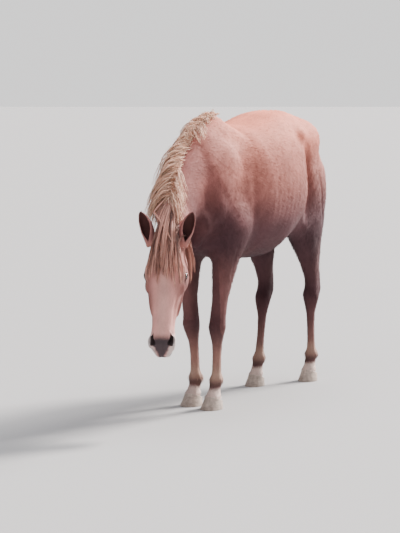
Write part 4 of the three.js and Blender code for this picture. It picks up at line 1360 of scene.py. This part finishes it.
def make_eye(side):
    """An eyeball with its cornea, iris and level pupil."""
    t0, v0, w0 = EYE["place"]
    radius = EYE["radius"]
    rings, around_count = 40, 64
    polar = np.linspace(0, math.pi, rings)
    angle = np.linspace(0, 2 * math.pi, around_count, endpoint=False)
    aim = unit(np.array([0.16, math.tan(math.radians(EYE["facing"])) - 0.08, 1.0]))
    right = unit(np.cross(Y, aim))
    up = np.cross(aim, right)
    p, a = np.meshgrid(polar[1:-1], angle, indexing="ij")
    bulge = 1 + CORNEA * np.exp(-((p / 0.5) ** 4))
    outward = right * np.cos(a)[..., None] + up * np.sin(a)[..., None]
    spot = aim * np.cos(p)[..., None] + outward * np.sin(p)[..., None]
    body = (spot * (radius * bulge)[..., None]).reshape(-1, 3)
    points = np.vstack([body, aim * radius * (1 + CORNEA), -aim * radius])
    local = points + np.array([t0, v0, w0])
    local[:, 2] *= side
    quads, caps = ringed_faces(rings - 2, around_count)
    quads = quads[:, ::-1] if side > 0 else quads
    caps = caps[:, ::-1] if side < 0 else caps
    hand = "left" if side > 0 else "right"
    obj = build_mesh("eyeball_" + hand, place(head.to_layout(*local.T)), [quads, caps])
    across, rise = points @ right / radius, points @ up / radius
    pupil = np.sqrt((across / 0.36) ** 2 + (rise / 0.17) ** 2)
    iris = np.sqrt(across**2 + rise**2) / 0.62
    rim = np.clip((iris - 0.86) / 0.12, 0, 1)[:, None]
    edge = np.clip((pupil - 0.9) / 0.2, 0, 1)[:, None]
    rays = 0.7 + 0.3 * np.cos(np.arctan2(rise, across) * 40)
    tint = PUPIL + (IRIS * rays[:, None] - PUPIL) * edge
    tint = tint * (1 - rim) + PUPIL * rim
    outside = np.clip((iris - 1.06) / 0.14, 0, 1)[:, None]
    tint = tint * (1 - outside) + EYE_WHITE * outside
    paint(obj, tint)
    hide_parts("eye_" + hand)
    return obj


mane_pieces = make_mane()
forelock_pieces = make_forelock()
tail_pieces = make_tail()
hoof_pieces = [make_hoof(name) for name in LEGS]
eye_pieces = [make_eye(side) for side in (1, -1)]


# ------------------------------------------------------------------------------------------ lie of the coat
# region, place in its frame (along, up, across; on both sides when across isn't 0), reach, direction of the hair
LIE = [
    ("trunk", (-60, 1340, 60), 170, (-0.75, -0.6, 0.2)),
    ("trunk", (60, 1120, 150), 190, (-0.35, -0.95, 0.0)),
    ("trunk", (200, 900, 50), 130, (0.0, -1.0, 0.15)),
    ("trunk", (-360, 1340, 120), 220, (-0.9, -0.4, 0.2)),
    ("trunk", (-380, 1050, 250), 250, (-0.85, -0.5, 0.0)),
    ("trunk", (-400, 740, 90), 200, (-1.0, -0.1, -0.1)),
    ("trunk", (-690, 1060, 230), 150, (-0.25, -0.95, 0.0)),
    ("trunk", (-760, 1400, 110), 190, (-0.9, -0.3, 0.25)),
    ("trunk", (-1030, 1230, 120), 170, (-0.55, -0.85, 0.1)),
    ("trunk", (-880, 980, 190), 210, (-0.2, -1.0, 0.0)),
    ("neck", (170, -60, 0), 170, (-0.6, -0.8, 0.0)),
    ("neck", (380, -60, 0), 150, (-0.75, -0.65, 0.0)),
    ("neck", (600, -60, 0), 130, (-0.8, -0.6, 0.0)),
    ("head", (60, 0, 0), 90, (1.0, -0.1, 0.0)),
    ("head", (150, -130, 70), 100, (0.6, -0.75, 0.1)),
    ("head", (330, -30, 0), 120, (1.0, -0.15, 0.0)),
    ("head", (500, -60, 0), 90, (1.0, -0.3, 0.0)),
    ("foreleg_left", (640, 0, 95), 180, (-1.0, -0.15, 0.0)),
    ("foreleg_left", (300, 0, 80), 200, (-1.0, -0.08, 0.0)),
    ("foreleg_left", (80, 0, 80), 100, (-1.0, 0.25, 0.0)),
    ("foreleg_right", (640, 0, 95), 180, (-1.0, -0.15, 0.0)),
    ("foreleg_right", (300, 0, 80), 200, (-1.0, -0.08, 0.0)),
    ("foreleg_right", (80, 0, 80), 100, (-1.0, 0.25, 0.0)),
    ("hindleg_left", (700, 60, 105), 180, (-1.0, -0.3, 0.0)),
    ("hindleg_left", (330, 0, 95), 200, (-1.0, -0.05, 0.0)),
    ("hindleg_left", (80, 0, 95), 100, (-1.0, 0.25, 0.0)),
    ("hindleg_right", (700, 60, 105), 180, (-1.0, -0.3, 0.0)),
    ("hindleg_right", (330, 0, 95), 200, (-1.0, -0.05, 0.0)),
    ("hindleg_right", (80, 0, 95), 100, (-1.0, 0.25, 0.0)),
]


def lie_anchors():
    """Places, reaches and directions of the coat's lie, with a frame and an offset for the grain at each."""
    places, reaches, frames, offsets = [], [], [], []
    for name, (t, v, w), reach, (dt, dv, dw) in LIE:
        region = REGIONS[name]
        for side in (1, -1) if w and name in BOXES else (1,):
            spot = region.to_layout(t, v, side * w)
            heading = unit(np.array([dt, dv, side * dw]) @ region.axes)
            out = unit(Y - (Y @ heading) * heading)
            frame_here = np.array([heading, np.cross(out, heading), out])
            if places:
                near = int(np.argmin([np.linalg.norm(spot - p) for p in places]))
                offset = offsets[near] + 0.5 * (frames[near] + frame_here) @ (spot - places[near])
            else:
                offset = np.zeros(3)
            places.append(spot)
            reaches.append(reach)
            frames.append(frame_here)
            offsets.append(offset)
    return np.array(places), np.array(reaches, float), np.array(frames), np.array(offsets)


ANCHORS = lie_anchors()


def lie_weights(points):
    places, reaches = ANCHORS[:2]
    gap = ((points[:, None] - places[None]) ** 2).sum(-1) / reaches**2
    gap = gap - gap.min(1, keepdims=True)
    weights = np.exp(-1.4 * gap)
    return weights / weights.sum(1, keepdims=True)


def lie(points, normals):
    """The direction of the coat at places on the skin."""
    heading = lie_weights(points) @ ANCHORS[2][:, 0]
    heading = heading + 0.16 * np.stack([ripple(points, 90, 5), ripple(points, 90, 6), ripple(points, 90, 7)], -1)
    return unit(heading - (heading * normals).sum(-1, keepdims=True) * normals)


def grain(points):
    """Coordinates that run with the lie of the coat: along it, then across it."""
    places, _, frames, offsets = ANCHORS
    weights = lie_weights(points)
    total = np.zeros((len(points), 3))
    for i in range(len(places)):
        total += weights[:, i : i + 1] * ((points - places[i]) @ frames[i].T + offsets[i])
    return total


def ripple(points, size, seed):
    """A smooth pattern without direction, about -1 to 1, with lumps of a size in millimetres."""
    rng = np.random.default_rng(seed)
    total = np.zeros(len(points))
    for _ in range(7):
        heading = unit(rng.normal(size=3)) * rng.uniform(0.6, 1.5) * 2 * math.pi / (2.2 * size)
        total += np.sin(points @ heading + rng.uniform(0, 2 * math.pi))
    return total / 3.2


# ------------------------------------------------------------------------------------------ colours of the coat
CHESTNUT = np.array([0.40, 0.140, 0.108])
LIT_SALMON = np.array([0.66, 0.205, 0.130])
SHADE_MAUVE = np.array([0.118, 0.056, 0.064])
NECK_PINK = np.array([0.29, 0.110, 0.100])
FACE_PINK = np.array([0.74, 0.340, 0.300])
FACE_PALE = np.array([0.74, 0.440, 0.375])
CHEEK = np.array([0.40, 0.165, 0.135])
LEG_RED = np.array([0.20, 0.092, 0.088])
DARK_AND_SHADE = np.array([0.050, 0.025, 0.031])
CANNON_TAN = np.array([0.80, 0.440, 0.340])
FETLOCK_TAN = np.array([0.56, 0.360, 0.275])
PASTERN_BEIGE = np.array([0.78, 0.600, 0.530])
MUZZLE_GREY = np.array([0.050, 0.046, 0.054])
NOSTRIL_DARK_AND_SHADE = np.array([0.020, 0.012, 0.013])
MUZZLE_PALE = np.array([0.58, 0.520, 0.500])
EAR_INSIDE = np.array([0.075, 0.030, 0.028])
SKIN_DARK = np.array([0.050, 0.030, 0.028])


def mixed(colour, other, share):
    return colour + (other - colour) * np.clip(share, 0, 1)[:, None]


def coat_tint(points):
    """The colour of the coat and skin at layout points, lighter on the back as painted light and darker below as
    painted shade.
    """
    x, y, z = points.T
    tint = np.tile(CHESTNUT, (len(points), 1))
    # painted light: the back and the croup are lighter where the light from above falls on them
    back = rise_between(z, 1150, 1420) * rise_between(-x, -100, 200)
    tint = mixed(tint, LIT_SALMON, back)
    ahead = along_neck(points)
    on_neck = rise_between(ahead, 120, 420) * rise_between(x, -80, 160)
    tint = mixed(tint, NECK_PINK, 0.8 * on_neck)
    # painted shade, darker below: the belly, the breast, between the legs and down the quarters
    low = rise_between(-z, -1200, -840) * rise_between(z, 600, 720) * (1 - rise_between(x, 60, 200))
    tint = mixed(tint, SHADE_MAUVE, 0.95 * low)
    behind_head = 1 - rise_between(x, 330, 420)
    # painted shade under the belly and between the legs
    under = hill(y, 210) * rise_between(-z, -960, -760) * rise_between(z, 480, 620) * behind_head
    tint = mixed(tint, DARK_AND_SHADE, 0.86 * under)
    # painted shade on the breast, below the neck
    breast = rise_between(x + 0.35 * (1000 - z), -20, 170)
    breast = breast * rise_between(-z, -1150, -920) * rise_between(z, 480, 660)
    tint = mixed(tint, DARK_AND_SHADE, 0.82 * breast * behind_head)
    # painted shade down the hind quarters
    quarter = rise_between(-x, 700, 860) * rise_between(-z, -1240, -980)
    tint = mixed(tint, DARK_AND_SHADE, 0.4 * quarter)
    tint = colour_legs(tint, points)
    return colour_head(tint, points)


def colour_legs(tint, points):
    z = points[:, 2]
    for name, leg in LEGS.items():
        here = within(points, leg_box(name)) & (z < 900)
        if not here.any():
            continue
        t, v, w = legs[name].to_local(points[here])
        c = tint[here]
        joint = 400 if leg["fore"] else 490
        c = mixed(c, LEG_RED, 0.9 * rise_between(-t, -830, -600))
        c = mixed(c, DARK_AND_SHADE, (0.42 if leg["fore"] else 0.62) * hill(t - joint, 75))
        # painted shade on the inner sides of the legs, between them
        inside = rise_between(-w, -95, -45) * rise_between(-t, -860, -700)
        c = mixed(c, DARK_AND_SHADE, 0.55 * inside)
        if not leg["fore"]:
            # painted shade over the hind legs, most of it on their fronts
            c = mixed(c, DARK_AND_SHADE, 0.6 * rise_between(-t, -860, -740) * rise_between(v, -20, 90))
            c = mixed(c, DARK_AND_SHADE, 0.5 * rise_between(-t, -860, -680))
        tan = {"foreleg_left": 0.85, "foreleg_right": 0.3}.get(name, 0.12)
        c = mixed(c, CANNON_TAN, tan * hill(t - 245, 75) * rise_between(v, -40, 10))
        c = mixed(c, FETLOCK_TAN, (0.8 if leg["fore"] else 0.6) * hill(t - 165, 42))
        c = mixed(c, DARK_AND_SHADE, 0.45 * hill(t - 118, 16))
        c = mixed(c, PASTERN_BEIGE, 0.9 * rise_between(-t, -108, -84))
        tint[here] = c
    return tint


def colour_head(tint, points):
    here = within(points, BOXES["head"])
    p = points[here]
    t, v, w = head.to_local(p)
    # the head's own pink, made lighter than the body as painted light on the front of the head
    on_head = rise_between(t, -60, 60) * rise_between(-np.abs(w), -130, -110)
    c = mixed(tint[here], FACE_PINK, on_head)
    w = np.abs(w)
    c = mixed(c, CHEEK, 0.75 * on_head * rise_between(w - 0.35 * v, 44, 84) * (1 - rise_between(t, 380, 470)))
    centre = hill(w, 34) * rise_between(t, 60, 200) * rise_between(v, -50, -10)
    c = mixed(c, FACE_PALE, 0.6 * centre)
    # painted shade on the cheek, below the crest of the face
    c = mixed(c, SHADE_MAUVE, 0.62 * hill(np.hypot((t - 235) * 0.8, (v + 105) * 0.75), 84) * rise_between(w, 34, 64))
    # muzzle: pale round the nostrils and the lips, dark grey between and below
    c = mixed(c, MUZZLE_PALE, 0.8 * rise_between(t, 440, 500) * rise_between(w - 0.6 * v, 30, 66))
    wide = 41 - 24 * rise_between(t, 520, 572) + 3 * ripple(p, 12, 9)
    grey = rise_between(t, 474, 512) * rise_between(wide - w, -6, 8) * rise_between(v, -92, -84)
    c = mixed(c, MUZZLE_GREY, 0.95 * grey)
    hole = np.where(w > 5, nostril_hole(t, v, w), 60)
    c = mixed(c, MUZZLE_PALE, 0.85 * hill(hole - 5, 9) * rise_between(w, 48, 55))
    # the nostril's hollow painted near black: its dark skin, and painted shade deeper in
    c = mixed(c, NOSTRIL_DARK_AND_SHADE, 0.98 * rise_between(-hole, -5.0, -2.8) * (1 - rise_between(w, 50, 56)))
    c = mixed(c, MUZZLE_PALE, 0.8 * rise_between(-v, 96, 112) * rise_between(t, 440, 480))
    line = segments_distance(t, v, w, MOUTH)
    c = mixed(c, MUZZLE_GREY, 0.9 * hill(line, 5))
    # lids
    eye = np.linalg.norm(np.stack([t, v, w], -1) - np.array(EYE["place"]), axis=1)
    _, up, _, opening = lid_opening(t, v, w)
    close = rise_between(-eye, -48, -30)
    c = mixed(c, FACE_PALE, 0.45 * hill(up - 22, 9) * close)
    c = mixed(c, SKIN_DARK, 0.95 * rise_between(-opening, -10, -3.5) * close)
    # ears: dark in the cup, pale at its rim
    for side in (1, -1):
        s, radius, angle, half, wrap, thick = round_ear(p, side)
        near = rise_between(s, -0.05, 0.12) * rise_between(-radius, -half * 1.5 - 6, -half * 1.2)
        c = mixed(c, LEG_RED, 0.7 * near)
        inside = near * rise_between(-(radius - (half - thick / 2)), -1.0, 1.6)
        c = mixed(c, EAR_INSIDE, 0.96 * inside)
        rim = near * (1 - inside) * rise_between(angle, wrap - 22, wrap - 4)
        c = mixed(c, FACE_PINK, 0.3 * rim)
        c = mixed(c, DARK_AND_SHADE, 0.5 * near * (1 - inside) * rise_between(s, 0.7, 1.0))
    tint[here] = c
    return tint


def varied(tint, points):
    """A tint with the soft mottling of a coat."""
    mottle = 0.06 * ripple(points, 70, 1) + 0.04 * ripple(points, 26, 2) + 0.02 * ripple(points, 9, 3)
    return np.clip(tint * np.exp(mottle)[:, None], 0, 1)


paint(skin_obj, varied(coat_tint(skin_points), skin_points))
grain_layer = skin_obj.data.attributes.new("grain", "FLOAT_VECTOR", "POINT")
grain_layer.data.foreach_set("vector", (grain(skin_points) * MM).astype(np.float32).ravel())


# ------------------------------------------------------------------------------------------ tufts of the coat
def skin_samples(count, rng, density):
    """Random places on the skin, with normals, as many as a density per area asks."""
    corners = []
    for group in skin_faces:
        f = np.asarray(group)
        for k in range(1, f.shape[1] - 1):
            corners.append(f[:, [0, k, k + 1]])
    tris = np.concatenate(corners)
    a, b, c = (skin_points[tris[:, i]] for i in range(3))
    area = np.linalg.norm(np.cross(b - a, c - a), axis=1) / 2
    weight = area * density((a + b + c) / 3)
    chosen = rng.choice(len(tris), count, p=weight / weight.sum())
    r1, r2 = np.sqrt(rng.uniform(0, 1, (count, 1))), rng.uniform(0, 1, (count, 1))
    mix = np.concatenate([1 - r1, r1 * (1 - r2), r1 * r2], 1)
    spots = (skin_points[tris[chosen]] * mix[..., None]).sum(1)
    normals = (skin_normals[tris[chosen]] * mix[..., None]).sum(1)
    return spots, unit(normals)


def mesh_normals(obj):
    """A mesh's normals at its points, in the layout's directions."""
    n = np.empty(3 * len(obj.data.vertices), np.float32)
    obj.data.vertex_normals.foreach_get("vector", n)
    n = n.reshape(-1, 3)
    return np.stack([-n[:, 1], n[:, 0], n[:, 2]], -1)


skin_normals = mesh_normals(skin_obj)


def head_share(points):
    """How far a place belongs to the head: 0 on the neck to 1 on the face."""
    ahead = along_neck(points)
    return rise_between(ahead, 600, 760) * (points[:, 0] > 300)


def leg_share(points):
    return rise_between(-points[:, 2], -720, -480) * (1 - head_share(points))


def bare(points):
    """1 where no tufts grow: eyes, nostrils, lips and inside the hooves."""
    t, v, w = head.to_local(points)
    w = np.abs(w)
    opening = lid_opening(t, v, w)[3]
    eye = np.linalg.norm(np.stack([t, v, w], -1) - np.array(EYE["place"]), axis=1)
    nostril = np.linalg.norm(np.stack([t, v, w], -1) - np.array(NOSTRIL["place"]), axis=1)
    bald = (eye < 34) & (opening < 3.0)
    bald |= nostril < 22
    bald |= (t > 520) & (w < 40) & (v > -90)
    for name, leg in LEGS.items():
        here = points[:, 2] < 60
        t, v, _ = legs[name].to_local(points)
        h = HOOVES[leg["fore"]]
        share = (v - h["top_heel"]) / (h["top_toe"] - h["top_heel"])
        top = CORONET[0] + (CORONET[1] - CORONET[0]) * np.clip(share, 0, 1)
        bald |= here & within(points, leg_box(name)) & (t < top + 1)
    return bald


def density(points):
    face, leg = head_share(points), leg_share(points)
    return 1.0 + 3.4 * face + 1.5 * leg


TUFT_LIMIT = 19000  # tufts in a piece


def make_tufts():
    rng = np.random.default_rng(41)
    count = 66000
    spots, normals = skin_samples(count, rng, density)
    keep = ~bare(spots)
    spots, normals = spots[keep], normals[keep]
    count = len(spots)
    face, leg = head_share(spots), leg_share(spots)
    t, v, w = head.to_local(spots)
    length = 15.0 - 8.5 * face - 5.0 * leg
    width = 1.7 - 0.75 * face - 0.35 * leg
    depth = coat_depth(spots)
    # longer hair: belly, jaw, the backs of the fetlocks and the coronets
    belly = hill(spots[:, 2] - 740, 90) * rise_between(-spots[:, 0], -60, 60)
    belly = belly * (1 - leg) * rise_between(-normals[:, 2], 0.2, 0.8)
    jaw = face * rise_between(-v, 130, 190) * rise_between(-t, -380, -250)
    fetlock = np.zeros(count)
    crown = np.zeros(count)
    for name in LEGS:
        here = within(spots, leg_box(name)) & (spots[:, 2] < 260)
        tt, vv, ww = legs[name].to_local(spots)
        fetlock = np.maximum(fetlock, here * hill(tt - 132, 26) * rise_between(-vv, 18, 42))
        crown = np.maximum(crown, here * hill(tt - 62, 14))
    length = length + 8 * belly + 6 * jaw + 20 * fetlock + 5 * crown
    depth = depth + 2 * belly + 1.5 * jaw + 5 * fetlock + 1.2 * crown
    length = length * rng.uniform(0.7, 1.25, count)
    heading = lie(spots, normals)
    side = np.cross(normals, heading)
    heading = unit(heading + side * rng.normal(0, 0.16, count)[:, None])
    lift = depth * rng.uniform(0.45, 1.0, count) * (1 - 0.7 * face)
    sunk = (0.6 - 0.25 * face)[:, None]
    root = spots - sunk * normals
    mid = root + heading * (0.5 * length)[:, None] + normals * (0.75 * lift[:, None] + sunk)
    tip = root + heading * length[:, None] + normals * (0.9 * lift[:, None] + 0.7 * sunk)
    paths = np.stack([root, mid, tip], 1)
    widths = (width * rng.uniform(0.7, 1.3, count))[:, None] * np.array([1.0, 0.8, 0.1])[None]
    across = np.repeat(side[:, None], 3, 1)
    tint = varied(coat_tint(spots), spots) * np.exp(rng.normal(0, 0.035, count))[:, None]
    colours = tint[:, None] * np.array([0.94, 1.0, 1.06])[None, :, None]
    colours = np.clip(colours, 0, 1)
    shading = unit(normals + 0.06 * rng.normal(size=(count, 3)) + 0.08 * heading)
    group = np.where(face > 0.5, 2, np.where(leg > 0.5, 1, 0))
    pieces = []
    for index, name in enumerate(("body", "leg", "face")):
        mine = np.nonzero(group == index)[0]
        arrays = (values[mine] for values in (paths, across, widths, widths * 0.35, colours))
        pieces += split_locks(f"coat_{name}", TUFT_LIMIT, *arrays, f"{name}_coat", normals=shading[mine])
    return pieces


coat_pieces = make_tufts()


# ------------------------------------------------------------------------------------------ materials
def new_material(name, roughness, sheen=0.0, coat=0.0):
    """A material whose colour starts from the tint painted on the points."""
    material = bpy.data.materials.new(name)
    material.use_nodes = True
    shader = material.node_tree.nodes["Principled BSDF"]
    shader.inputs["Roughness"].default_value = roughness
    shader.inputs["Sheen Weight"].default_value = sheen
    shader.inputs["Sheen Roughness"].default_value = 0.45
    shader.inputs["Coat Weight"].default_value = coat
    shader.inputs["Coat Roughness"].default_value = 0.06
    shader.inputs["Specular IOR Level"].default_value = 0.08
    tint = material.node_tree.nodes.new("ShaderNodeAttribute")
    tint.attribute_name = "tint"
    return material, shader, tint.outputs["Color"]


def noise(material, scale, detail, vector=None, roughness=0.55):
    nodes, links = material.node_tree.nodes, material.node_tree.links
    texture = nodes.new("ShaderNodeTexNoise")
    texture.inputs["Scale"].default_value = scale
    texture.inputs["Detail"].default_value = detail
    texture.inputs["Roughness"].default_value = roughness
    if vector is None:
        vector = nodes.new("ShaderNodeTexCoord").outputs["Object"]
    links.new(vector, texture.inputs["Vector"])
    return texture.outputs["Fac"]


def stretched(material, attribute, scale):
    """A vector attribute with its axes scaled."""
    nodes, links = material.node_tree.nodes, material.node_tree.links
    source = nodes.new("ShaderNodeAttribute")
    source.attribute_name = attribute
    mapping = nodes.new("ShaderNodeMapping")
    mapping.inputs["Scale"].default_value = scale
    links.new(source.outputs["Vector"], mapping.inputs["Vector"])
    return mapping.outputs["Vector"]


def shaded(material, colour, factor, low, high):
    """A colour made darker and lighter by a factor from 0 to 1."""
    nodes, links = material.node_tree.nodes, material.node_tree.links
    spread = nodes.new("ShaderNodeMapRange")
    spread.inputs["From Min"].default_value = 0.3
    spread.inputs["From Max"].default_value = 0.7
    spread.inputs["To Min"].default_value = low
    spread.inputs["To Max"].default_value = high
    links.new(factor, spread.inputs["Value"])
    scale = nodes.new("ShaderNodeVectorMath")
    scale.operation = "SCALE"
    links.new(colour, scale.inputs[0])
    links.new(spread.outputs["Result"], scale.inputs["Scale"])
    return scale.outputs["Vector"]


def bump(material, shader, height, distance, strength):
    nodes, links = material.node_tree.nodes, material.node_tree.links
    node = nodes.new("ShaderNodeBump")
    node.inputs["Distance"].default_value = distance
    node.inputs["Strength"].default_value = strength
    links.new(height, node.inputs["Height"])
    links.new(node.outputs["Normal"], shader.inputs["Normal"])


def fur_skin_material():
    """Short flat fur: streaks along the grain, in colour and in relief."""
    material, shader, tint = new_material("fur_skin", 0.66, sheen=0.02)
    fine = noise(material, 1.0, 3, stretched(material, "grain", (90, 700, 700)))
    broad = noise(material, 1.0, 2, stretched(material, "grain", (18, 80, 80)))
    colour = shaded(material, tint, fine, 0.88, 1.10)
    colour = shaded(material, colour, broad, 0.975, 1.025)
    material.node_tree.links.new(colour, shader.inputs["Base Color"])
    bump(material, shader, fine, 0.0008, 0.5)
    return material


def hair_material(name, roughness, sheen, low, high):
    material, shader, tint = new_material(name, roughness, sheen)
    colour = shaded(material, tint, noise(material, 420, 2), low, high)
    material.node_tree.links.new(colour, shader.inputs["Base Color"])
    return material


def hoof_material():
    material, shader, tint = new_material("hoof", 0.55)
    colour = shaded(material, tint, noise(material, 60, 5), 0.72, 1.2)
    material.node_tree.links.new(colour, shader.inputs["Base Color"])
    bump(material, shader, noise(material, 240, 4), 0.0006, 0.6)
    return material


def eye_material():
    material, shader, tint = new_material("eye", 0.12, coat=1.0)
    colour = shaded(material, tint, noise(material, 900, 2), 0.8, 1.2)
    material.node_tree.links.new(colour, shader.inputs["Base Color"])
    return material


def finish_with(material, pieces):
    for piece in pieces:
        piece.data.materials.append(material)


finish_with(fur_skin_material(), [skin_obj])
finish_with(hair_material("long_hair", 0.5, 0.1, 0.85, 1.15), mane_pieces + forelock_pieces + tail_pieces)
finish_with(hair_material("short_hair", 0.66, 0.02, 0.96, 1.04), coat_pieces)
finish_with(hoof_material(), hoof_pieces)
finish_with(eye_material(), eye_pieces)


# ------------------------------------------------------------------------------------------ camera, light, floor
CAMERA = dict(yaw=27.8, distance=9.2, height=1.62, focal=1891, horizon=76, feet=203, width=400, tall=533)


def make_camera():
    """The camera ahead of the horse and to its left, as high as a standing person's eyes."""
    c = CAMERA
    yaw = math.radians(c["yaw"])
    back = np.array([math.sin(yaw), -math.cos(yaw), 0])
    right = np.array([math.cos(yaw), math.sin(yaw), 0])
    pitch = math.atan((c["tall"] / 2 - c["horizon"]) / c["focal"])
    look = -back * math.cos(pitch) - np.array([0, 0, math.sin(pitch)])
    feet = np.array([0, ORIGIN_Y, 0])
    eye = feet + back * c["distance"] + np.array([0, 0, c["height"]])
    depth = (feet - eye) @ look
    eye = eye - right * (c["feet"] - c["width"] / 2) / c["focal"] * depth
    data = bpy.data.cameras.new("camera")
    data.lens = c["focal"] * 36 / c["tall"]
    data.sensor_width = 36
    data.clip_end = 100
    camera = bpy.data.objects.new("camera", data)
    camera.location = eye
    camera.rotation_euler = Vector(look).to_track_quat("-Z", "Y").to_euler()
    bpy.context.scene.collection.objects.link(camera)
    bpy.context.scene.camera = camera


def make_light(name, origin, energy, angle, colour):
    """A soft far light that comes from the direction of origin."""
    data = bpy.data.lights.new(name, "SUN")
    data.energy = energy
    data.angle = math.radians(angle)
    data.color = colour
    light = bpy.data.objects.new(name, data)
    light.location = origin
    light.rotation_euler = (-Vector(origin)).to_track_quat("-Z", "Y").to_euler()
    bpy.context.scene.collection.objects.link(light)


def make_world():
    """Dim even light from all round, and a pale backdrop behind the floor."""
    world = bpy.data.worlds.new("world")
    world.use_nodes = True
    nodes, links = world.node_tree.nodes, world.node_tree.links
    around_light = nodes["Background"]
    around_light.inputs["Color"].default_value = (0.88, 0.86, 0.92, 1)
    around_light.inputs["Strength"].default_value = AMBIENT
    backdrop = nodes.new("ShaderNodeBackground")
    backdrop.inputs["Color"].default_value = (1.0, 0.985, 0.985, 1)
    backdrop.inputs["Strength"].default_value = BACKDROP
    path = nodes.new("ShaderNodeLightPath")
    mix = nodes.new("ShaderNodeMixShader")
    links.new(path.outputs["Is Camera Ray"], mix.inputs["Fac"])
    links.new(around_light.outputs["Background"], mix.inputs[1])
    links.new(backdrop.outputs["Background"], mix.inputs[2])
    links.new(mix.outputs["Shader"], nodes["World Output"].inputs["Surface"])
    bpy.context.scene.world = world


AMBIENT = 0.16
BACKDROP = 1.26

make_camera()
make_light("sun", (2.1, 5.6, 4.6), 10.5, 12, (1.0, 0.94, 0.90))
make_light("rim", (1.2, 5.8, 2.0), 4.5, 10, (1.0, 0.96, 0.94))
make_light("sky", (0.3, 2.6, 6.0), 4.2, 60, (0.97, 0.97, 1.0))
make_light("front", (0.6, -4.6, 6.2), 1.1, 50, (0.96, 0.95, 1.0))
make_world()

floor_mesh = bpy.data.meshes.new("floor")
floor_mesh.from_pydata([(-300, -300, 0), (300, -300, 0), (300, 300, 0), (-300, 300, 0)], [], [(0, 1, 2, 3)])
floor = bpy.data.objects.new("floor", floor_mesh)
bpy.context.scene.collection.objects.link(floor)
floor_material = bpy.data.materials.new("floor")
floor_material.use_nodes = True
floor_shader = floor_material.node_tree.nodes["Principled BSDF"]
floor_shader.inputs["Base Color"].default_value = (0.33, 0.325, 0.325, 1)
floor_shader.inputs["Roughness"].default_value = 0.9
floor.data.materials.append(floor_material)
